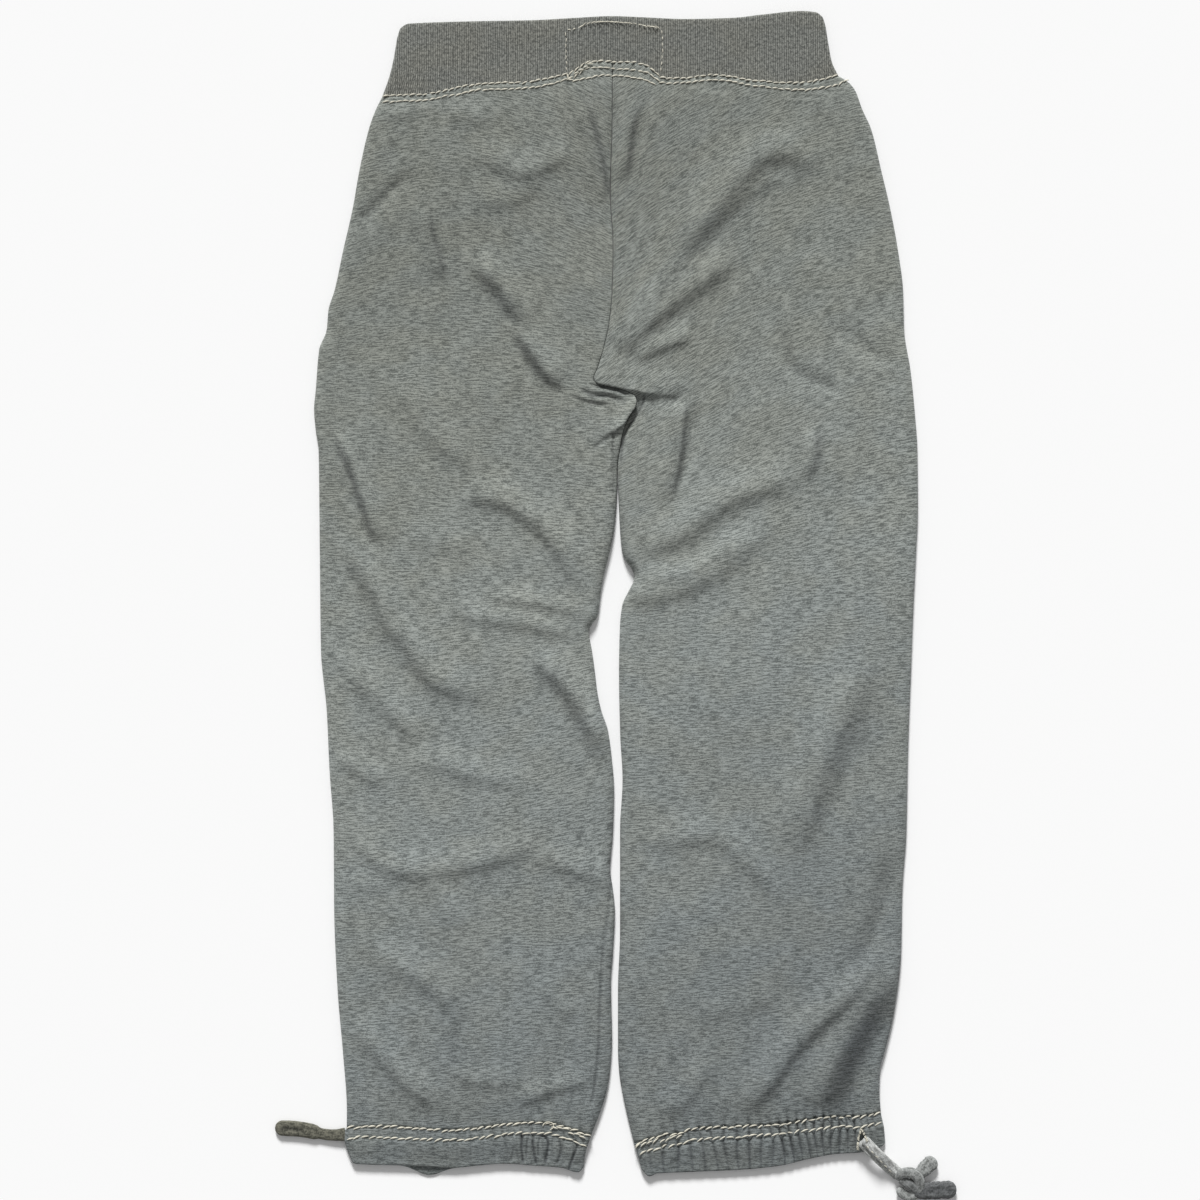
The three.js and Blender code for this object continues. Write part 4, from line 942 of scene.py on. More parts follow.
@dataclass
class LegSheet:
    """One panel of a leg, front or back, as a thin shell.

    Attributes:
        legs: the leg.
        layer: the side of the garment.
        rows: its steps along, in millimetres.
        body_columns: its steps across between the rolled edges, in shares of the width.
        roll_columns: the faces across each rolled edge.
        top: where the rows start, before they are pulled to the waist seam.
        bottom: where they end, before they are pulled to the hem.
        waist_zone: the share of the way down over which the rows follow the waist seam.
        hem_zone: the share of the way down from which they follow the hem.
        settling: how often the rows are fitted again, because the seams aren't level.
        seam_roll: how far the cloth rolls in at the seam between the legs.
        groove: how deep that seam lies.
        middle: how far the leg's middle is from that of the garment.
        end_zone: the share of the way over which the height turns into the band's, or the casing's.
        pucker_height: how high the puckers of the waist seam are.
        pucker_zone: the share of the way over which they fade, and the gathers at the hem.
    """

    legs: Legs
    layer: Layer
    rows: Steps
    body_columns: Steps
    roll_columns: int = 7
    top: float = 455.0
    bottom: float = -465.0
    waist_zone: float = 0.16
    hem_zone: float = 0.9
    settling: int = 6
    seam_roll: float = 2.6
    groove: float = 0.9
    middle: float = 125.0
    end_zone: float = 0.05
    pucker_height: float = 0.35
    pucker_zone: float = 0.012

    def __post_init__(self) -> None:
        """Picks this leg's outlines and creases."""
        left = self.legs is Legs.LEFT
        self.outer = Line(OUTER_LEFT if left else OUTER_RIGHT)
        self.inside = Line(INNER_LEFT if left else INNER_RIGHT)
        self.centre = Line(CENTRE_SEAM)
        self.hem = Line(LEFT_HEM_SEAM if left else RIGHT_HEM_SEAM)
        self.gathers = LEFT_GATHERS if left else RIGHT_GATHERS
        self.creases = BACK_CREASES + (LEFT_ONLY_CREASES if left else RIGHT_ONLY_CREASES)
        self.outward = -1.0 if left else 1.0
        self.name = f"{self.layer.value}_{self.legs.value}"

    def inner(self, y: Array) -> Array:
        """Returns where the panel's inner edge lies at each height."""
        gap = self.outward * SEAM_GAP / 2
        return np.where(y >= CROTCH_Y, self.centre(y) + gap, self.inside(y))

    def columns(self) -> tuple[Array, Array, Array]:
        """Returns for each column its share of the width, and its turn round either edge."""
        quarter = np.linspace(0, np.pi / 2, self.roll_columns + 1)
        body = spread(self.body_columns)[1:-1]
        share = np.concatenate([np.zeros(len(quarter)), body, np.ones(len(quarter))])
        upright = np.full(len(body) + len(quarter), np.pi / 2)
        return share, np.concatenate([quarter, upright]), np.concatenate([upright, quarter[::-1]])

    def place(self, u: Array, v: Array) -> tuple[Array, Array]:
        """Works out where the panel's outside lies.

        Args:
            u: shares across, from the outer edge to the inner one.
            v: shares along, from the waist to the hem.

        Returns:
            Points in millimetres, and UV places in metres.
        """
        columns = self.columns()
        at = np.linspace(0, 1, len(columns[0]))
        share, outer_turn, inner_turn = (np.interp(u, at, column) for column in columns)
        rows = spread(self.rows)
        row = np.interp(v, np.linspace(0, 1, len(rows)), rows)
        down = (self.top - row) / (self.top - self.bottom)
        pull = 1 - smooth(down, 0, self.waist_zone)
        drag = smooth(down, self.hem_zone, 1)
        y = row.copy()
        for _ in range(self.settling):
            open_up = 1 - smooth(y, CROTCH_Y, CROTCH_Y + CROTCH_BLEND)
            x = self._across(y, share, outer_turn, inner_turn, open_up)
            waist = WAIST_LINE(x) - SEAM_GAP / 2 - self.top
            hem = self.hem(x) + SEAM_GAP / 2 - self.bottom
            y = row + pull * waist + drag * hem
        up = np.sin(outer_turn) * (1 - (1 - np.sin(inner_turn)) * open_up)
        if self.layer is Layer.FRONT:
            z = self._front_height(x, y, up, down)
        else:
            seam = -self.groove * (1 - np.sin(inner_turn)) * (1 - open_up)
            z = self._back_height(x, y, up, down) + seam
        points = np.column_stack([x, y, z])
        return points, np.column_stack([x, y - self._grain(x, y)]) * MM

    def _across(self, y: Array, share: Array, outer_turn: Array, inner_turn: Array, open_up: Array) -> Array:
        """Works out where the places lie across, with both edges rolled.

        Args:
            y: places along, in millimetres.
            share: shares of the width.
            outer_turn: how far round the outer edge each place is.
            inner_turn: the same for the inner edge.
            open_up: how free the inner edge is: 0 on the centre seam, 1 below it.

        Returns:
            The places across.
        """
        inner_roll = lerp(self.seam_roll, EDGE_ROLL, open_up)
        outer = self.outer(y) - self.outward * EDGE_ROLL * (1 - np.cos(outer_turn))
        inner = self.inner(y) + self.outward * inner_roll * (1 - np.cos(inner_turn))
        return lerp(outer, inner, share)

    def _grain(self, x: Array, y: Array) -> Array:
        """Works out how far the knit's courses are pulled up or down from level.

        Args:
            x: places across, in millimetres.
            y: places along.

        Returns:
            The pull at each place, in millimetres.
        """
        m = x - self.outward * self.middle
        if self.legs is Legs.RIGHT:
            return lerp(0.05 * m, 0.43 * (m - 0.0026 * m**2), smooth(y, -70, 190))
        seat = -0.07 * m - 0.00174 * m**2
        low = smooth(-y, 180, 290)
        shin = m * lerp(0.12, 0.05, low) + 0.0006 * m**2 * (1 - low)
        return seat * smooth(y, 140, 310) + shin * (1 - smooth(y, -70, 20))

    def _back_height(self, x: Array, y: Array, up: Array, down: Array) -> Array:
        """Works out the height of the back panel's outside.

        Args:
            x: places across, in millimetres.
            y: places along.
            up: how far up from the side seams each place is, from 0 to 1.
            down: shares of the way from the waist to the hem.

        Returns:
            The height, with the creases, the puckers and the gathers.
        """
        near_band = 1 - smooth(down, 0, self.end_zone)
        near_hem = smooth(down, 1 - self.end_zone, 1)
        top = BACK_TOP_Z + near_band * (BAND_HEIGHT - BACK_TOP_Z) + near_hem * (HEM_HEIGHT - BACK_TOP_Z)
        low = SIDE_SEAM_Z + SEAM_GAP
        puckers = self.pucker_height * np.sin(x / 0.93 + 1.3 * np.sin(x / 17))
        puckers = puckers * np.exp(-((down / self.pucker_zone) ** 2))
        gathers = self.gathers.lift(x, y) * np.exp(-(((1 - down) / self.pucker_zone) ** 2))
        lift = self.relief(x, y) * self._seam_fade(down)
        return low + (top - low + lift + puckers + gathers) * up

    @staticmethod
    def _seam_fade(down: Array) -> Array:
        """Returns how freely the cloth can crease: 0 at the band and the hem, 1 away from them."""
        return smooth(down, 0.0, 0.022) * (1 - smooth(down, 0.972, 1.0))

    def _front_height(self, x: Array, y: Array, up: Array, down: Array) -> Array:
        """Works out the height of the front panel's outside.

        Args:
            x: places across, in millimetres.
            y: places along.
            up: how far up from the side seams each place is, from 0 to 1.
            down: shares of the way from the waist to the hem.

        Returns:
            The height, with the creases that lift it off the floor.
        """
        total = sum(item.lift(x, y) for item in FRONT_CREASES)
        lift = FRONT_RELIEF * np.tanh(total / FRONT_RELIEF)
        return SIDE_SEAM_Z * (1 - up) + lift * up * self._seam_fade(down)

    def relief(self, x: Array, y: Array) -> Array:
        """Works out the creases' height above the plain cloth.

        Args:
            x: places across, in millimetres.
            y: places along.

        Returns:
            The height at each place.
        """
        swell = 0.4 * (np.sin(x / 31 + y / 57) + np.sin(y / 31 - x / 57))
        dimples = 0.16 * np.sin(x / 9.1 + 2.2 * np.sin(y / 23)) * np.sin(y / 12.7 + 1.7 * np.sin(x / 19))
        crinkle_x = np.sin(x / 6.3 + 2.1 * np.sin(y / 17))
        crinkle_y = np.sin(y / 7.1 + 2.2 * np.sin(x / 14 + y / 90))
        total = LOFT + swell + dimples + 0.13 * crinkle_x * crinkle_y
        total = total + sum(item.lift(x, y) for item in self.creases)
        return np.where(total < 0, LOWEST_RELIEF * np.tanh(total / LOWEST_RELIEF), total)

    def painted_fold_shade(self, x: Array, y: Array) -> Array:
        """Works out the shade painted into the cloth: between the gathers near the hem, and at the creases'
        feet.

        Args:
            x: places across, in millimetres.
            y: places along.

        Returns:
            The painted shade at each place, from 0 to 1.
        """
        if self.layer is Layer.FRONT:
            return np.zeros_like(x)
        # painted shade in the valleys of the gathers, fading away from the hem seam
        gathers = self.gathers.painted_shade(x, y) * np.exp(-(((y - self.hem(x)) / 8) ** 2))
        return gathers + sum(item.shade(x, y) for item in self.creases)

    def build(self, wardrobe: Wardrobe) -> bpy.types.Object:
        """Makes the panel.

        Args:
            wardrobe: the garment's finishes.

        Returns:
            The panel.
        """
        columns = len(self.columns()[0]) - 1
        rows = len(spread(self.rows)) - 1
        piece = cloth_grid(f"{self.name}_cloth", columns, rows, self._turned_place)
        paint_shade(piece, self.painted_fold_shade)
        give_wall(piece, CLOTH)
        dress(piece, wardrobe.fleece, "fleece", self.name)
        return piece

    def _turned_place(self, u: Array, v: Array) -> tuple[Array, Array]:
        """Returns the places with the sheet's face turned out of the garment."""
        mirrored = (self.legs is Legs.RIGHT) != (self.layer is Layer.FRONT)
        return self.place(1 - u if mirrored else u, 1 - v)


@dataclass(frozen=True)
class Gathers:
    """The gathers of a hem casing.

    Attributes:
        depth: how deep they are, for places from left to right.
        pitch: how close they lie.
        mean_height: the share of their height that lies level with the plain cloth.
        valley: the share of it below which shade is painted into the cloth.
        deepest: the depth from which a valley's painted shade is full.
    """

    depth: tuple[Place, ...]
    pitch: tuple[Place, ...]
    mean_height: float = 0.62
    valley: float = 0.55
    deepest: float = 3.6

    def lift(self, x: Array, y: Array) -> Array:
        """Returns the height of the gathers at places near the hem."""
        return self._strength(x) * (self._wave(x, y) - self.mean_height)

    def painted_shade(self, x: Array, y: Array) -> Array:
        """Returns the shade painted into the valleys between two gathers."""
        low = np.clip(1 - self._wave(x, y) / self.valley, 0, 1)
        return low * np.clip(self._strength(x) / self.deepest, 0, 1)

    def _strength(self, x: Array) -> Array:
        """Returns the gathers' uneven depth."""
        return Line(self.depth)(x) * (0.8 + 0.2 * np.sin(x / 5.7 + 1.4 * np.sin(x / 3.1)))

    def _wave(self, x: Array, y: Array) -> Array:
        """Works out the run of the gathers.

        Args:
            x: places across, in millimetres.
            y: places along.

        Returns:
            0 in the valleys and 1 on the ridges.
        """
        places = np.linspace(-270, 270, 2161)
        turns = np.cumsum(1 / Line(self.pitch)(places)) * (places[1] - places[0])
        slant = x + 0.1 * (y + 480) + 1.5 * np.sin(x / 13 + y / 11) + 0.4 * np.sin(x / 4.7 + y / 7)
        return np.abs(np.sin(np.pi * np.interp(slant, places, turns)))


LEFT_GATHERS = Gathers(
    depth=((-235, 0.8), (-170, 0.9), (-125, 1.2), (-100, 1.5), (-60, 1.5), (-20, 1.0)),
    pitch=((-235, 13), (-150, 11), (-100, 9.5), (-50, 8), (-20, 9)),
)
# The deepest gathers of the left casing, one by one, and the leg's seam beside them
# dark paints shade into the colour in each of them
LEFT_TUCKS = (
    crease(-1.0, 1.3, (-88.5, -479), (-89.5, -487), (-92, -494), ends=0.16, dark=0.5),
    crease(-1.8, 1.3, (-81.8, -469), (-82, -482), (-80.5, -497), ends=0.12, dark=0.95),
    crease(-1.2, 1.2, (-76, -471), (-77.4, -480), (-78, -491), ends=0.16, dark=0.6),
    crease(-1.4, 1.3, (-72.7, -473), (-71.7, -485), (-69.2, -497), ends=0.14, dark=0.75),
    crease(-1.2, 1.2, (-66, -471), (-67.5, -481), (-67, -491), ends=0.16, dark=0.55),
    crease(-2.0, 1.4, (-64, -469.6), (-59.2, -476), (-59.6, -485), (-62, -497), ends=0.12, dark=1.0),
    crease(-1.4, 1.3, (-50, -472), (-47.8, -484), (-52, -498), ends=0.14, dark=0.7),
    crease(-1.4, 1.2, (-35.4, -474), (-34.2, -481), (-38.3, -492.7), (-41.4, -502), ends=0.06, dark=0.9),
)
RIGHT_GATHERS = Gathers(
    depth=((10, 1.4), (40, 2.8), (90, 3.2), (130, 3.8), (155, 5.0), (205, 5.0), (214, 1.6), (235, 0.5)),
    pitch=((10, 12), (90, 10.5), (150, 8.5), (180, 6.6), (235, 6.5)),
)


@dataclass
class FlatTube:
    """A flattened tube with a folded wall: the waistband, or a hem casing.

    Its wall runs from the seam to the free edge, folds over there and comes back inside.

    Attributes:
        name: the piece's name.
        seam: its seam with the legs.
        edge: its free edge.
        left: its left side, by the share of the way from the seam to the edge.
        right: its right side.
        height: how high it lies.
        wall: how thick its wall is, with both layers.
        roll: how far its sides are rounded.
        towards: 1 where the free edge is above the seam, and -1 where it is below.
        columns: the faces round it.
        upper_share: the share of them that is on its upper side.
        ripple: gives the height of its relief for places across and along, and for the level.
        drop: gives how much further down the lower side hangs at the free edge.
        sag: how much lower it lies at the free edge.
        outside_rows: the faces from the seam to the edge.
        fold_rows: the faces round the free edge.
        inside_rows: the faces back to the seam.
        turn_share: the share of the way round that each rounded side takes.
        seam_rows: where the first rows lie, close to the seam.
        usual_length: a tube's usual length from its seam to its edge.
        fold_reach: how far the fold runs back from the edge, in halves of the wall.
        side_fade: the share of the way round over which the relief begins.
        sag_start: the level from which the sag begins.
    """

    name: str
    seam: Line
    edge: Line
    left: Line
    right: Line
    height: float
    wall: float
    roll: float
    towards: float
    columns: int
    upper_share: float
    ripple: Callable[[Array, Array, Array], Array]
    drop: Callable[[Array], Array] = np.zeros_like
    sag: float = 0.0
    outside_rows: int = 14
    fold_rows: int = 6
    inside_rows: int = 4
    turn_share: float = 0.03
    seam_rows: tuple[float, ...] = (0.0, 0.006, 0.018)
    usual_length: float = 45.0
    fold_reach: float = 1.2
    side_fade: float = 0.006
    sag_start: float = 0.35

    def wall_section(self) -> tuple[Array, Array]:
        """Returns the level and the depth in the wall at each row round the wall's section."""
        fold = np.linspace(0, np.pi, self.fold_rows + 1)
        deep = (1 - np.cos(fold)) / 2
        reach = self.wall / 2 / self.usual_length * self.fold_reach
        level = 1 - reach * (1 - np.sin(fold))
        out = np.linspace(0, 1 - reach, self.outside_rows, endpoint=False)
        out = np.concatenate([self.seam_rows, out[1:]])
        back = np.linspace(1 - reach, 0, self.inside_rows + 1)[1:]
        levels = np.concatenate([out, level, back, [0.0]])
        depths = np.concatenate([np.zeros(len(out)), deep, np.ones(len(back)), [0.0]])
        return levels, depths

    def place(self, u: Array, v: Array) -> tuple[Array, Array]:
        """Works out where the tube's wall lies.

        Args:
            u: shares round the tube, with the upper side first, from left to right.
            v: shares round the wall's section.

        Returns:
            Points in millimetres, and UV places in metres.
        """
        levels, depths = self.wall_section()
        at = np.linspace(0, 1, len(levels))
        level = np.interp(v, at, levels)
        depth = np.interp(v, at, depths)
        height = self.height - self.sag * smooth(level, self.sag_start, 1.0)
        inset = depth * np.minimum(self.wall, height / 2 - LEAST_OPENING)
        roll = np.maximum(self.roll - inset, LEAST_ROLL)
        left = self.left(level) + inset + roll
        right = self.right(level) - inset - roll
        low, high = inset, height - inset
        middle, half = (low + high) / 2, (high - low) / 2
        turn, upper = self.turn_share, self.upper_share
        lower_start, lower_end = upper + turn, 1 - turn
        across = np.clip(u / upper, 0, 1)
        back_across = np.clip((u - lower_start) / (lower_end - lower_start), 0, 1)
        right_turn = np.clip((u - upper) / turn, 0, 1) * np.pi
        left_turn = np.clip((u - lower_end) / turn, 0, 1) * np.pi
        # the upper side, the right side and the lower side; the left side is what remains
        sides = [u <= upper, u < lower_start, u <= lower_end]
        x = np.select(
            sides,
            [lerp(left, right, across), right + roll * np.sin(right_turn), lerp(right, left, back_across)],
            left - roll * np.sin(left_turn),
        )
        z = np.select(
            sides,
            [high, middle + half * np.cos(right_turn), low],
            middle - half * np.cos(left_turn),
        )
        top_share = (z - low) / np.maximum(high - low, 1e-6)
        start = self.seam(x) + self.towards * SEAM_GAP / 2
        finish = self.edge(x) + self.towards * self.drop(x) * (1 - top_share)
        y = lerp(start, finish, level)
        outside = (1 - depth) * (u <= upper) * smooth(u, 0, self.side_fade)
        z = z + outside * self.ripple(x, y, level)
        width = self.right(0.5) - self.left(0.5)
        from_left = x - self.left(0.5)
        round_about = np.where(u <= upper + turn / 2, from_left, 2 * width - from_left)
        return np.column_stack([x, y, z]), np.column_stack([round_about, y]) * MM

    def build(self) -> bpy.types.Object:
        """Returns the tube as a closed shell."""
        rows = len(self.wall_section()[0]) - 1
        return cloth_grid(self.name, self.columns, rows, self.place, closed=True)


@dataclass
class Waistband:
    """The ribbed waistband."""

    rib_pitch: float = RIB_PITCH
    rib_depth: float = 0.6
    samples: int = 6
    upper_share: float = 0.9

    def build(self, wardrobe: Wardrobe) -> bpy.types.Object:
        """Makes the band.

        Args:
            wardrobe: the garment's finishes.

        Returns:
            The band.
        """
        left, right = self._side(BAND_LEFT), self._side(BAND_RIGHT)
        width = float(right(0.5) - left(0.5))
        ribs = round(width / self.rib_pitch)

        def ribbed(x: Array, y: Array, level: Array) -> Array:
            """Works out the height of the upright ribs and the band's slow waves.

            Args:
                x: places across, in millimetres.
                y: places along.
                level: shares of the way from the seam to the edge.

            Returns:
                The height.
            """
            sway = 0.5 * np.sin(x / 37 + 2 * level) + 0.25 * np.sin(x / 11)
            rib = np.cos(2 * np.pi * (x - left(0.5)) / self.rib_pitch) * 0.5 - 0.5
            return self.rib_depth * rib + sway * np.sin(np.pi * level) * 0.5

        tube = FlatTube(
            name="waistband_rib",
            seam=WAIST_LINE,
            edge=Line(BAND_TOP),
            left=left,
            right=right,
            height=BAND_HEIGHT,
            wall=BAND_WALL,
            roll=BAND_ROLL,
            towards=1.0,
            columns=round(self.samples * ribs / self.upper_share),
            upper_share=self.upper_share,
            ripple=ribbed,
            outside_rows=9,
            fold_rows=5,
            inside_rows=3,
        )
        piece = tube.build()
        dress(piece, wardrobe.rib, "rib_knit", "waistband")
        return piece

    @staticmethod
    def _side(rows: tuple[Place, ...]) -> Line:
        """Returns a side edge by the share of its height, from rows that start at the top."""
        side, top, bottom = Line(rows), rows[0][0], rows[-1][0]
        return Line([(t, float(side(lerp(bottom, top, t)))) for t in (0, 0.3, 0.6, 1)])


@dataclass(frozen=True)
class Buttonhole:
    """The leaning slit that the right drawcord comes out of, in millimetres."""

    x: float = 213.5
    y: float = -473.0
    half_width: float = 1.9
    half_length: float = 5.6
    lean: float = 0.12
    depth: float = 3.0

    def pit(self, x: Array, y: Array) -> Array:
        """Works out how high the cloth lies in the slit.

        Args:
            x: places across, in millimetres.
            y: places along.

        Returns:
            The height, which is below 0.
        """
        across = (x - self.x + self.lean * (y - self.y)) / self.half_width
        along = (y - self.y) / self.half_length
        return -self.depth * np.exp(-((across**2 + along**2) ** 2))


@dataclass
class HemCasing:
    """A hem casing with gathers.

    Attributes:
        legs: the leg.
        sides: its left and right side, by the share of the way from the seam to the edge.
        lobe: place, half-width and depth of the part of the lower side that shows below the upper.
        buttonhole: the drawcord's buttonhole.
        tucks: the gathers that are placed one by one.
        columns: the faces round it.
        upper_share: the share of them that is on its upper side.
        sag: how much lower it lies at its free edge.
        seam_level: how far down the edge of the seam's allowance shows through.
        grow: the levels between which the gathers grow.
        fade: the levels between which most of their height goes again.
        mouth: half-width and half-height of the shade painted into the opening above the lobe.
    """

    legs: Legs
    sides: tuple[tuple[float, float, float], ...]
    lobe: tuple[float, float, float] = (0.0, 1.0, 0.0)
    buttonhole: Buttonhole | None = None
    tucks: tuple[Crease, ...] = ()
    columns: int = 420
    upper_share: float = 0.8
    sag: float = 2.4
    seam_level: float = 0.27
    grow: Place = (-0.12, 0.34)
    fade: Place = (0.62, 1.0)
    mouth: Place = (9.0, 1.5)

    def build(self, wardrobe: Wardrobe) -> bpy.types.Object:
        """Makes the casing.

        Args:
            wardrobe: the garment's finishes.

        Returns:
            The casing.
        """
        left_leg = self.legs is Legs.LEFT
        gathers = LEFT_GATHERS if left_leg else RIGHT_GATHERS
        place, width, depth = self.lobe
        edge = Line(LEFT_HEM_EDGE if left_leg else RIGHT_HEM_EDGE)

        def ripple(x: Array, y: Array, level: Array) -> Array:
            """Works out the height of the gathers, the seam's edge and the buttonhole.

            Args:
                x: places across, in millimetres.
                y: places along.
                level: shares of the way from the seam to the edge.

            Returns:
                The height.
            """
            strength = smooth(level, *self.grow) * (1 - 0.85 * smooth(level, *self.fade))
            seam = -0.5 * np.exp(-(((level - self.seam_level) / 0.05) ** 2))
            lift = gathers.lift(x, y) * strength + seam + sum(tuck.lift(x, y) for tuck in self.tucks)
            return lift + (self.buttonhole.pit(x, y) if self.buttonhole else 0.0)

        def painted_shade(x: Array, y: Array) -> Array:
            """Works out the shade painted into the gathers' valleys, the tucks and the casing's mouth.

            Args:
                x: places across, in millimetres.
                y: places along.

            Returns:
                The painted shade at each place, from 0 to 1.
            """
            from_x, from_y = x - place - 2, y - edge(x) + 0.6
            mouth = np.exp(-((from_x / self.mouth[0]) ** 2) - (from_y / self.mouth[1]) ** 2)
            tucked = sum(tuck.shade(x, y) for tuck in self.tucks)
            return gathers.painted_shade(x, y) + tucked + 0.8 * mouth * (depth > 0)

        tube = FlatTube(
            name=f"hem_casing_{self.legs.value}_cloth",
            seam=Line(LEFT_HEM_SEAM if left_leg else RIGHT_HEM_SEAM),
            edge=edge,
            left=Line([(t, left) for t, left, _ in self.sides]),
            right=Line([(t, right) for t, _, right in self.sides]),
            height=HEM_HEIGHT,
            wall=HEM_WALL,
            roll=HEM_ROLL,
            towards=-1.0,
            columns=self.columns,
            upper_share=self.upper_share,
            ripple=ripple,
            drop=lambda x: depth * np.exp(-(((x - place) / width) ** 2)),
            sag=self.sag,
            outside_rows=26,
        )
        piece = tube.build()
        paint_shade(piece, painted_shade)
        dress(piece, wardrobe.fleece, "fleece", f"hem_casing_{self.legs.value}")
        return piece


@dataclass(frozen=True)
class Surface:
    """The top of the finished cloth, which stitches are laid on.

    Attributes:
        trees: the pieces that may be on top.
        around: where the cloth is looked for, from a stitch's middle, in millimetres.
        floor: the lowest height at which a stitch is laid, in metres.
        above: a height above all the cloth, in metres.
    """

    trees: tuple[BVHTree, ...]
    around: tuple[Place, ...] = ((0.0, -1.3), (0.0, 0.0), (0.0, 1.3), (-1.6, 0.0), (1.6, 0.0))
    floor: float = 0.004
    above: float = 0.1

    @classmethod
    def over(cls, pieces: Sequence[bpy.types.Object]) -> "Surface":
        """Returns the top of several pieces."""
        graph = bpy.context.evaluated_depsgraph_get()
        return cls(tuple(BVHTree.FromObject(piece, graph) for piece in pieces))

    def drop(self, x: float, y: float) -> tuple[Vector, Vector]:
        """Finds the cloth's top at and around a place.

        Args:
            x: the place across, in millimetres.
            y: the place along.

        Returns:
            The point in metres and the cloth's normal there.
        """
        best, normal = Vector((x * MM, y * MM, self.floor)), Vector((0, 0, 1))
        for tree in self.trees:
            for right, ahead in self.around:
                start = Vector(((x + right) * MM, (y + ahead) * MM, self.above))
                point, face, _, _ = tree.ray_cast(start, Vector((0, 0, -1)))
                if point is not None and point.z > best.z:
                    best.z, normal = point.z, face
        return best, normal


@dataclass
class StitchRow:
    """A row of thick stitches along a smooth line.

    Attributes:
        name: the row's name.
        points: places on its line.
        seed: what its unevenness is drawn from.
        pitch: the distance from one stitch to the next.
        length: a stitch's length.
        thick: its thickness.
        tilt: how far it is turned from the line, in degrees.
        wander: how far it strays from the line.
        sink: how deep it lies in the cloth, or below 0 where it lies on other stitches.
        uneven_tilt: how uneven the tilt is, in degrees.
        lengths: the least and the greatest share of the length.
        thicks: the least and the greatest share of the thickness.
    """

    name: str
    points: tuple[Place, ...]
    seed: int
    pitch: float = 5.8
    length: float = 6.7
    thick: float = 1.45
    tilt: float = 8.0
    wander: float = 0.3
    sink: float = 0.1
    uneven_tilt: float = 5.0
    lengths: Place = (0.9, 1.08)
    thicks: Place = (0.88, 1.12)

    def build(self, surface: Surface, pattern: bpy.types.Object) -> bpy.types.Object:
        """Lays the stitches.

        Args:
            surface: the cloth that they lie on.
            pattern: the one stitch that is copied.

        Returns:
            All the row's stitches as one piece.
        """
        rng = np.random.default_rng(self.seed)
        path = smooth_path(self.points, 12)
        at = way_along(path)
        count = max(2, round(at[-1] / self.pitch))
        copies = []
        for i in range(count):
            middle = at[-1] * (i + 0.5) / count
            ends = [
                tuple(np.interp(middle + way * self.length / 2, at, path[:, axis]) for axis in (0, 1))
                for way in (-1, 1)
            ]
            copies.append(self._one(surface, pattern, ends, rng))
        row = joined(copies, self.name)
        bpy.ops.object.transform_apply(location=True, rotation=True, scale=True)
        return row

    def _one(
        self, surface: Surface, pattern: bpy.types.Object, ends: list[Place], rng: np.random.Generator
    ) -> bpy.types.Object:
        """Lays one stitch.

        Args:
            surface: the cloth that it lies on.
            pattern: the stitch that is copied.
            ends: the two places that it joins, before it is tilted.
            rng: what its unevenness is drawn from.

        Returns:
            The stitch.
        """
        (x0, y0), (x1, y1) = ends
        x, y = (x0 + x1) / 2, (y0 + y1) / 2
        point, normal = surface.drop(x, y)
        angle = math.atan2(y1 - y0, x1 - x0) + math.radians(self.tilt + rng.normal(0, self.uneven_tilt))
        along = Vector((math.cos(angle), math.sin(angle), 0))
        along = (along - along.dot(normal) * normal).normalized()
        side = normal.cross(along)
        length = self.length * rng.uniform(*self.lengths)
        thick = self.thick * rng.uniform(*self.thicks)
        point = point + side * rng.normal(0, self.wander) * MM - normal * self.sink * MM
        turn = Matrix((along, side, normal)).transposed().to_4x4()
        copy = pattern.copy()
        copy.data = pattern.data.copy()
        bpy.context.collection.objects.link(copy)
        copy.matrix_world = Matrix.Translation(point) @ turn @ Matrix.Diagonal((length, thick, thick, 1.0))
        return copy


def stitch_pattern() -> bpy.types.Object:
    """Returns one stitch a millimetre long and thick, whose ends dip into the cloth."""
    bpy.ops.object.select_all(action="DESELECT")
    bpy.ops.mesh.primitive_uv_sphere_add(segments=8, ring_count=8, radius=0.5)
    pattern = bpy.context.object
    pattern.name = "stitch_pattern"
    # the sphere's axis becomes the stitch's length; the stitch bows to one side and its ends dip
    for vertex in pattern.data.vertices:
        x, y, z = vertex.co
        run = math.copysign(abs(2 * z) ** 0.8, z)
        waist = 1 + 0.2 * math.cos(3 * math.pi * z)
        lift = 0.34 - 1.5 * (z * z)
        bow = 1.5 * (0.12 - z * z)
        vertex.co = (run * 0.5 * MM, (y * 0.8 * waist + bow) * MM, (x * 0.7 + lift * 0.8) * MM)
    turn_outwards(pattern)
    bpy.ops.object.shade_smooth()
    return pattern


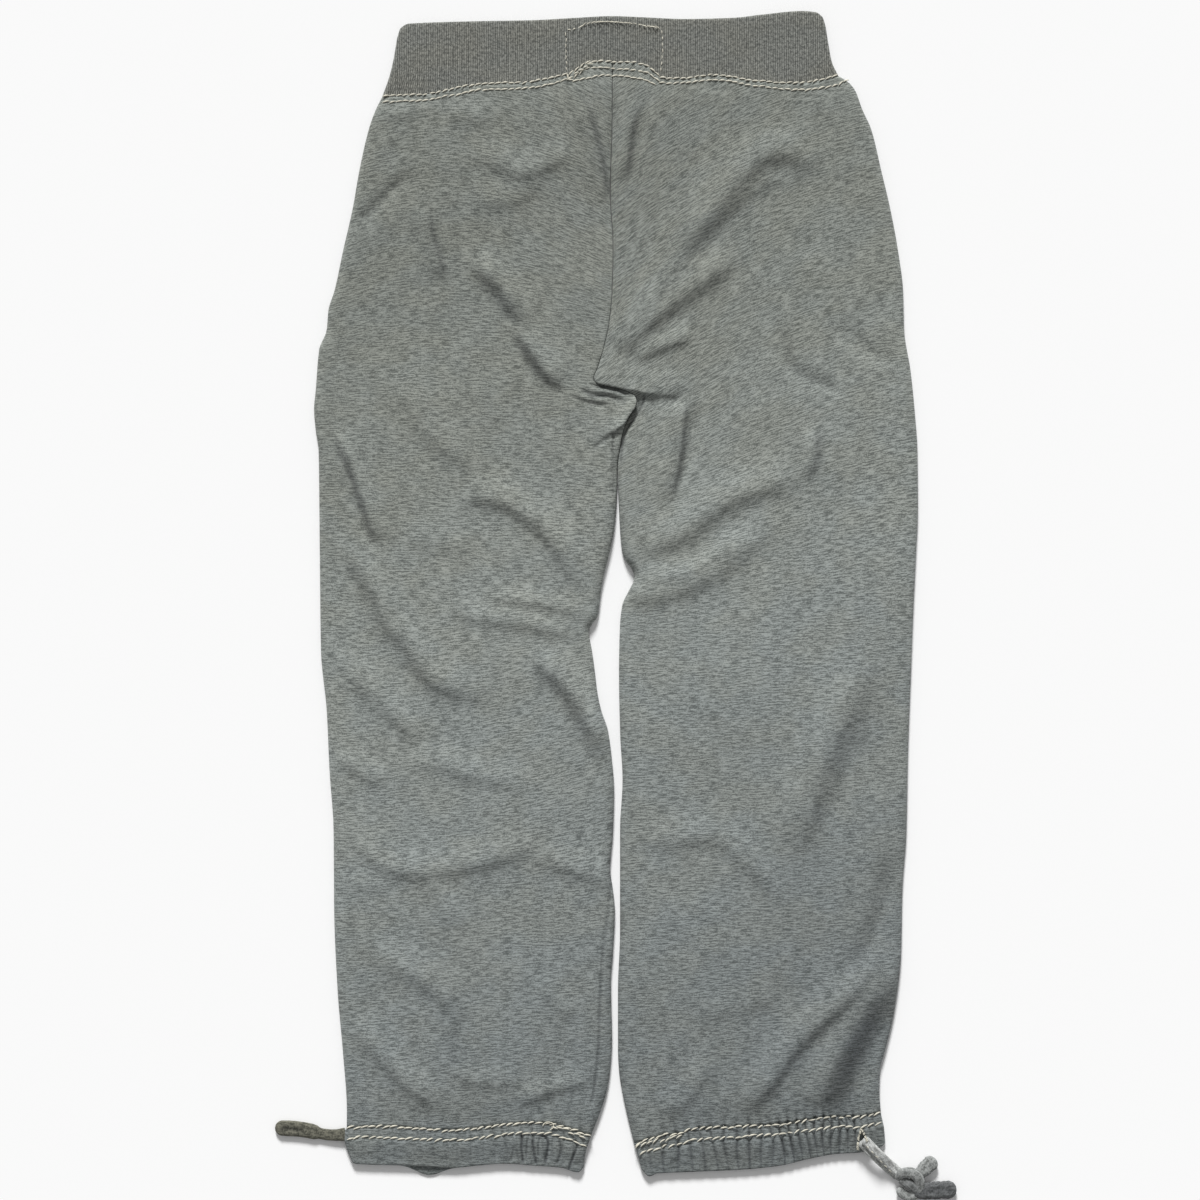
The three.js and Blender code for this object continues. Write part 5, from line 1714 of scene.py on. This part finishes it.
@dataclass
class SoftTube:
    """A flat cord or a roll of cloth along a route.

    Attributes:
        name: the piece's name.
        route: places on its middle line.
        widths: its width, by the share of the way along it.
        thicks: its thickness.
        sides: the faces round it.
        steps: the faces along it.
        crease_depth: how deep the crease along its upper side is.
        wrinkle: how uneven it is.
        start_tip: the share of its length over which its start is rounded.
        end_tip: the same of its end.
        crease_span: from where to where the crease runs.
        shade: how much shade is painted evenly over all of it.
        slit: the shade painted into the slit of a folded end.
        flatness: how square it is across, from 0 to 1 for round.
        fullness: the same upwards.
        crease_width: the crease's half-width, as a share of the cord's.
        crease_fade: half the share of the length over which it begins and ends.
    """

    name: str
    route: Route
    widths: tuple[Place, ...]
    thicks: tuple[Place, ...]
    sides: int = 20
    steps: int = 60
    crease_depth: float = 0.0
    wrinkle: float = 0.1
    start_tip: float = 0.06
    end_tip: float = 0.06
    crease_span: tuple[float, float] = (0.0, 1.0)
    shade: float = 0.0
    slit: Crease | None = None
    flatness: float = 0.75
    fullness: float = 0.85
    crease_width: float = 0.22
    crease_fade: float = 0.04

    def path(self) -> Array:
        """Returns the route's smooth line in millimetres, one row for each step."""
        dense = smooth_path(self.route, 24)
        at = way_along(dense)
        even = np.linspace(0, at[-1], self.steps + 1)
        return np.column_stack([np.interp(even, at, dense[:, k]) for k in range(3)])

    def length(self) -> float:
        """Returns the route's length in millimetres."""
        return float(way_along(self.path())[-1])

    def place(self, u: Array, v: Array) -> tuple[Array, Array]:
        """Works out where the cord's surface lies.

        Args:
            u: shares round the cord.
            v: shares along it.

        Returns:
            Points in millimetres, and UV places in metres.
        """
        path = self.path()
        tangent = np.gradient(path, axis=0)
        tangent /= np.linalg.norm(tangent, axis=1)[:, None]
        side = np.cross(tangent, [0, 0, 1.0])
        side /= np.linalg.norm(side, axis=1)[:, None]
        up = np.cross(side, tangent)
        at = np.linspace(0, 1, len(path))

        def along(rows: Array) -> Array:
            """Returns rows of vectors at each share of the way."""
            return np.column_stack([np.interp(v, at, rows[:, k]) for k in range(3)])

        angle = 2 * np.pi * u
        width, thick = Line(self.widths)(v) / 2, Line(self.thicks)(v) / 2
        near = np.maximum(1 - v / max(self.start_tip, 1e-6), 1 - (1 - v) / self.end_tip)
        closing = np.sqrt(np.clip(1 - np.clip(near, 0, 1) ** 2, 0, 1))
        flat = np.sign(np.cos(angle)) * np.abs(np.cos(angle)) ** self.flatness
        high = np.sign(np.sin(angle)) * np.abs(np.sin(angle)) ** self.fullness
        (first, last), fade = self.crease_span, self.crease_fade
        creased = smooth(v, first - fade, first + fade) * (1 - smooth(v, last - fade, last + fade))
        dent = self.crease_depth * creased * np.exp(-((flat / self.crease_width) ** 2)) * (high > 0)
        puff = 1 + self.wrinkle * 0.25 * np.sin(v * 41 + 2 * np.sin(angle)) * np.sin(2 * angle + v * 17)
        across = (width * closing * flat * puff)[:, None] * along(side)
        above = (closing * (thick * high * puff - dent))[:, None] * along(up)
        points = along(path) + across + above
        uvs = np.column_stack([v * self.length(), u * 2 * (width.max() + thick.max())])
        return points, uvs * MM

    def build(self) -> bpy.types.Object:
        """Returns the tube as a closed piece."""
        piece = cloth_grid(self.name, self.sides, self.steps, self.place, closed=True)
        paint_shade(piece, self._painted_cord_shade)
        return piece

    def _painted_cord_shade(self, x: Array, y: Array) -> Array:
        """Returns the shade painted into the cord: even over all of it, most in the slit of a folded end."""
        return self.shade + (self.slit.shade(x, y) if self.slit else np.zeros_like(x))


@dataclass
class Drawcords:
    """The drawcords' free ends: one at the left hem, and two strands with a knot at the right."""

    left_diameter: float = 10.0
    strand_diameter: float = 7.0

    def build(self, wardrobe: Wardrobe) -> list[bpy.types.Object]:
        """Makes the cords and the knot.

        Args:
            wardrobe: the garment's finishes.

        Returns:
            The left cord, the lower and upper strands, and the knot.
        """
        knot = self._knot(wardrobe)
        left = self._cord(
            SoftTube(
                "drawcord_left_cloth",
                LEFT_ROUTE,
                widths=((0, 11.6), (0.2, 9.8), (0.36, 9.6), (0.44, 12.8), (0.8, 13.6), (1, 13.4)),
                thicks=((0, 3.4), (0.36, 3.2), (0.44, 4.6), (1, 4.4)),
                crease_depth=1.7,
                wrinkle=0.05,
                start_tip=0.01,
                end_tip=0.11,
                crease_span=(0.58, 0.9),
                steps=120,
                # a line of painted shade in the slit of the folded end
                slit=crease(
                    0.0, 1.3, (-293, -464.5), (-284, -464.8), (-271, -466.2), ends=0.14, dark=0.9
                ),
            ),
            "drawcord_left",
            wardrobe.cord,
        )
        lower = self._strand(wardrobe, "drawcord_right_lower", LOWER_ROUTE)
        upper = self._strand(wardrobe, "drawcord_right_upper", UPPER_ROUTE)
        return [left, lower, upper, knot]

    def _strand(
        self,
        wardrobe: Wardrobe,
        node: str,
        route: Route,
    ) -> bpy.types.Object:
        """Makes one of the two strands at the right hem.

        Args:
            wardrobe: the garment's finishes.
            node: the CAD node that it replaces.
            route: its middle line.

        Returns:
            The strand.
        """
        tube = SoftTube(
            f"{node}_cloth",
            route,
            widths=((0, 8.0), (1, 8.2)),
            thicks=((0, 2.6), (1, 2.8)),
            crease_depth=0.35,
            wrinkle=0.1,
        )
        return self._cord(tube, node, wardrobe.strand)

    def _cord(
        self,
        tube: SoftTube,
        node: str,
        finish: bpy.types.Material,
    ) -> bpy.types.Object:
        """Builds and dresses a cord.

        Args:
            tube: the cord's shape.
            node: the CAD node that it replaces.
            finish: its material.

        Returns:
            The cord.
        """
        piece = tube.build()
        dress(piece, finish, "cord_cloth", node)
        tube.length() * MM
        return piece

    def _knot(self, wardrobe: Wardrobe) -> bpy.types.Object:
        """Makes the overhand knot with the two folded cord ends.

        Args:
            wardrobe: the garment's finishes.

        Returns:
            The knot, as one piece.
        """
        parts = [
            SoftTube(
                "knot_wrap",
                ((245, -510, 3.6), (248, -503.5, 8.0), (256, -502.5, 8.6), (262.5, -508, 7.6),
                 (263, -517, 5.0), (257.5, -523.6, 3.8), (250, -522.6, 3.8), (245.4, -516, 3.6)),
                widths=((0, 7.4), (0.3, 9.4), (0.6, 9.0), (1, 7.6)),
                thicks=((0, 4.4), (0.4, 4.6), (1, 4.2)),
            ),
            SoftTube(
                "knot_core",
                ((247, -508, 5.0), (253, -512, 6.4), (259, -516, 5.6), (263, -519, 4.2)),
                widths=((0, 8.0), (0.5, 9.0), (1, 9.0)),
                thicks=((0, 4.0), (1, 5.2)),
                # shade painted over the knot's core
                shade=0.5,
            ),
            SoftTube(
                "knot_end_upper",
                ((257, -511, 4.2), (262, -506, 4.4), (268, -500, 3.9), (273.4, -495, 3.8),
                 (277.6, -491, 3.8)),
                widths=((0, 9.5), (0.3, 10.5), (0.6, 13.2), (1, 13.6)),
                thicks=((0, 4.8), (0.5, 6.0), (1, 6.6)),
                crease_depth=0.5,
                wrinkle=0.2,
                end_tip=0.2,
            ),
            SoftTube(
                "knot_end_lower",
                ((258, -519, 4.2), (266, -519.4, 4.0), (276, -518.8, 3.9), (286, -518.2, 3.9),
                 (296, -518.4, 3.9)),
                widths=((0, 12.0), (0.3, 14.5), (0.6, 15.4), (1, 15.6)),
                thicks=((0, 5.2), (0.5, 6.6), (1, 6.8)),
                crease_depth=1.8,
                wrinkle=0.2,
                end_tip=0.18,
                crease_span=(0.3, 0.86),
                # shade painted over the lower end, and a darker painted line in its slit
                shade=0.9,
                slit=crease(
                    0.0, 1.5, (266, -519.6), (276, -517.6), (286, -517.8), (292, -520), ends=0.14, dark=0.6
                ),
            ),
        ]
        knot = joined([part.build() for part in parts], "drawcord_knot_cloth")
        dress(knot, wardrobe.knot, "cord_cloth", "drawcord_knot")
        return knot


@dataclass(frozen=True)
class Studio:
    """The floor, the light and the camera, which looks straight down.

    Attributes:
        centre: the place below the camera, in millimetres.
        view_width: the width of the view on the floor.
        distance: the camera's height.
        sensor: the width of its sensor.
        room_light: the strength of the light from all round.
        sun_towards: the way to the window's light, seen from above.
        sun_height: how high it stands above the floor, in degrees.
        sun_width: how wide it looks, in degrees.
        sun_strength: its strength in watts per square metre.
        floor_size: the floor's width, in metres.
        floor_drop: how far it lies below the cloth, in metres.
    """

    centre: Place = (-13.9, -5.7)
    view_width: float = 1044.0
    distance: float = 3000.0
    sensor: float = 36.0
    room_light: float = 0.34
    sun_towards: Place = (-0.1, 1.0)
    sun_height: float = 28.0
    sun_width: float = 14.0
    sun_strength: float = 4.3
    floor_size: float = 40.0
    floor_drop: float = 0.0002

    def build(self) -> None:
        """Makes the camera, the light and the floor."""
        scene = bpy.context.scene
        scene.view_settings.view_transform = "Standard"
        camera = bpy.data.objects.new("camera", bpy.data.cameras.new("camera"))
        camera.data.sensor_width = self.sensor
        camera.data.lens = self.sensor * self.distance / self.view_width
        camera.location = (self.centre[0] * MM, self.centre[1] * MM, self.distance * MM)
        scene.collection.objects.link(camera)
        scene.camera = camera
        world = bpy.data.worlds.new("soft_room")
        world.use_nodes = True
        background = world.node_tree.nodes["Background"]
        background.inputs["Color"].default_value = (1.0, 1.0, 1.0, 1.0)
        background.inputs["Strength"].default_value = self.room_light
        scene.world = world
        self._window()
        bpy.ops.object.select_all(action="DESELECT")
        bpy.ops.mesh.primitive_plane_add(size=self.floor_size, location=(0, 0, -self.floor_drop))
        floor = bpy.context.object
        floor.name = "floor"
        floor.data.materials.append(PalePaper().make())

    def _window(self) -> None:
        """Lets soft light in from far away on one side."""
        data = bpy.data.lights.new("window_light", "SUN")
        data.angle = math.radians(self.sun_width)
        data.energy = self.sun_strength
        lamp = bpy.data.objects.new("window_light", data)
        rise = math.tan(math.radians(self.sun_height)) * math.hypot(*self.sun_towards)
        towards = Vector((*self.sun_towards, rise))
        lamp.location = towards * 2
        lamp.rotation_euler = towards.to_track_quat("Z", "Y").to_euler()
        bpy.context.scene.collection.objects.link(lamp)


# The lower row of stitches along the waist seam, and the rows below the seams of the hems
WAIST_LOWER = (
    (-203, 426.6), (-184, 427), (-165, 428.2), (-139, 433), (-115, 437), (-83, 438), (-57, 442),
    (-42, 446), (-36, 448.5), (-24, 456.5), (3, 455), (29, 452), (37, 444), (61, 443.3), (88, 446),
    (114, 441.5), (141, 438), (167, 437.3), (190, 441), (203, 446.5),
)
LEFT_HEM_LOWER = (
    (-234, -473.5), (-212, -472), (-163, -474.5), (-128, -474), (-105, -470.5), (-79, -468.5),
    (-52, -470.5), (-25.5, -480),
)
RIGHT_HEM_LOWER = (
    (19.8, -486), (39, -481.5), (57.5, -476.7), (81, -472.7), (112.5, -471), (142, -469),
    (167, -465.5), (192.5, -462), (210, -463.5), (230.5, -459),
)
# Where the stitches run at the middle of the waist, on the patch and at the buttonhole
WAIST_CENTRE = (
    (-42, 451.5), (-43.6, 448), (-40, 444.6), (-33, 445.4), (-24, 447.6), (-3, 449.4), (21, 446.8),
    (34, 441),
)
WAIST_OVERLAP = ((-37, 450.5), (-31, 454), (-25, 459), (-20, 460))
PATCH_LEFT = ((-43.2, 488), (-43.6, 470), (-42.6, 453))
PATCH_TOP = ((-43, 489.6), (-38, 489.4), (-34, 490))
PATCH_THREAD = ((-33, 491), (-28, 493.4), (-13.6, 496.0), (8, 495.2), (29, 492.2), (38.6, 490.3))
PATCH_RIGHT = ((39, 490), (40.4, 476), (38.8, 452))
LEFT_OVERLAP = ((-56, -462.0), (-46, -464.9), (-36, -467.9), (-26, -471.2))
RIGHT_OVERLAP = ((16.5, -480.6), (28, -477), (40, -474), (58, -471.6))
BUTTONHOLE_LEFT = ((212.6, -465), (210.6, -472), (209.6, -479), (210.2, -484))
BUTTONHOLE_RIGHT = ((212.8, -465), (215.6, -470), (218.0, -475.5))
THREAD_LOOP = (
    (-63.5, -462.5), (-62, -459.4), (-58, -458.4), (-54.6, -460.4), (-54.4, -463.4), (-57.6, -465.4),
)
STRAND_DASHES = ((215.8, -477.9), (222, -484.6), (229, -491.2), (234.5, -497.6), (240, -503.5))

HEM_STITCH = {"pitch": 6.4, "length": 7.6, "thick": 1.6, "tilt": 15, "wander": 0.45}
PATCH_STITCH = {"pitch": 5.2, "length": 3.6, "thick": 1.0, "tilt": 0}
OVERLAP_STITCH = {"length": 6.6, "thick": 1.5, "wander": 0.9, "sink": -0.7}
BUTTONHOLE_STITCH = {"pitch": 1.2, "length": 2.5, "thick": 1.1}
STITCH_ROWS = (
    StitchRow("waist_stitches_upper", WAIST_SEAM, 11),
    StitchRow("waist_stitches_lower", WAIST_LOWER, 12),
    StitchRow("waist_stitches_centre", WAIST_CENTRE, 13),
    StitchRow("waist_overlap", WAIST_OVERLAP, 17, pitch=4.6, length=5.6, tilt=-12, sink=-0.6),
    StitchRow("patch_stitches_left", PATCH_LEFT, 14, **PATCH_STITCH),
    StitchRow("patch_stitches_top", PATCH_TOP, 15, pitch=5.0, length=4.0, thick=1.1, tilt=2),
    StitchRow(
        "patch_thread_top", PATCH_THREAD, 18, pitch=4.0, length=7.4, thick=1.1, tilt=0, wander=0.1, sink=-0.5
    ),
    StitchRow("patch_stitches_right", PATCH_RIGHT, 16, **PATCH_STITCH),
    StitchRow("left_hem_stitches_upper", LEFT_HEM_SEAM, 21, **HEM_STITCH),
    StitchRow("left_hem_stitches_lower", LEFT_HEM_LOWER, 22, **HEM_STITCH),
    StitchRow("right_hem_stitches_upper", RIGHT_HEM_SEAM, 23, **HEM_STITCH),
    StitchRow("right_hem_stitches_lower", RIGHT_HEM_LOWER, 24, **HEM_STITCH),
    StitchRow("left_hem_overlap", LEFT_OVERLAP, 31, pitch=5.0, tilt=2, **OVERLAP_STITCH),
    StitchRow("right_hem_overlap", RIGHT_OVERLAP, 32, pitch=5.2, tilt=24, **OVERLAP_STITCH),
    StitchRow("buttonhole_left", BUTTONHOLE_LEFT, 41, tilt=70, **BUTTONHOLE_STITCH),
    StitchRow("buttonhole_right", BUTTONHOLE_RIGHT, 42, tilt=110, **BUTTONHOLE_STITCH),
    StitchRow(
        "left_hem_thread_loop", THREAD_LOOP, 33,
        pitch=1.9, length=3.0, thick=0.9, tilt=0, wander=0.1, sink=-0.6,
    ),
    StitchRow("strand_dashes", STRAND_DASHES, 51, pitch=5.6, length=3.8, thick=0.8, tilt=0, wander=0.2),
)


@dataclass
class Sewing:
    """All the cream stitches."""

    surface: Surface
    rows: tuple[StitchRow, ...] = STITCH_ROWS

    def build(self, wardrobe: Wardrobe) -> None:
        """Makes every row of stitches.

        Args:
            wardrobe: the garment's finishes.
        """
        pattern = stitch_pattern()
        for row in self.rows:
            dress(row.build(self.surface, pattern), wardrobe.thread, "thread")
        bpy.data.objects.remove(pattern)


def main() -> None:
    """Builds the studio, the cords, the cloth and the sewing."""
    logging.basicConfig(level=logging.INFO, format="%(message)s")
    Studio().build()
    wardrobe = Wardrobe.sewn()
    cords = Drawcords().build(wardrobe)
    pieces = [
        LegSheet(Legs.LEFT, Layer.FRONT, FRONT_ROWS, FRONT_COLUMNS),
        LegSheet(Legs.LEFT, Layer.BACK, BACK_ROWS, BACK_COLUMNS),
        LegSheet(Legs.RIGHT, Layer.FRONT, FRONT_ROWS, FRONT_COLUMNS),
        LegSheet(Legs.RIGHT, Layer.BACK, BACK_ROWS, BACK_COLUMNS),
        Waistband(),
        HemCasing(Legs.LEFT, LEFT_CASING_SIDES, lobe=(-163, 15, 7.5), tucks=LEFT_TUCKS),
        HemCasing(Legs.RIGHT, RIGHT_CASING_SIDES, buttonhole=Buttonhole()),
    ]
    cloth = [piece.build(wardrobe) for piece in pieces]
    Sewing(Surface.over(cloth + cords)).build(wardrobe)


if __name__ == "__main__":
    main()
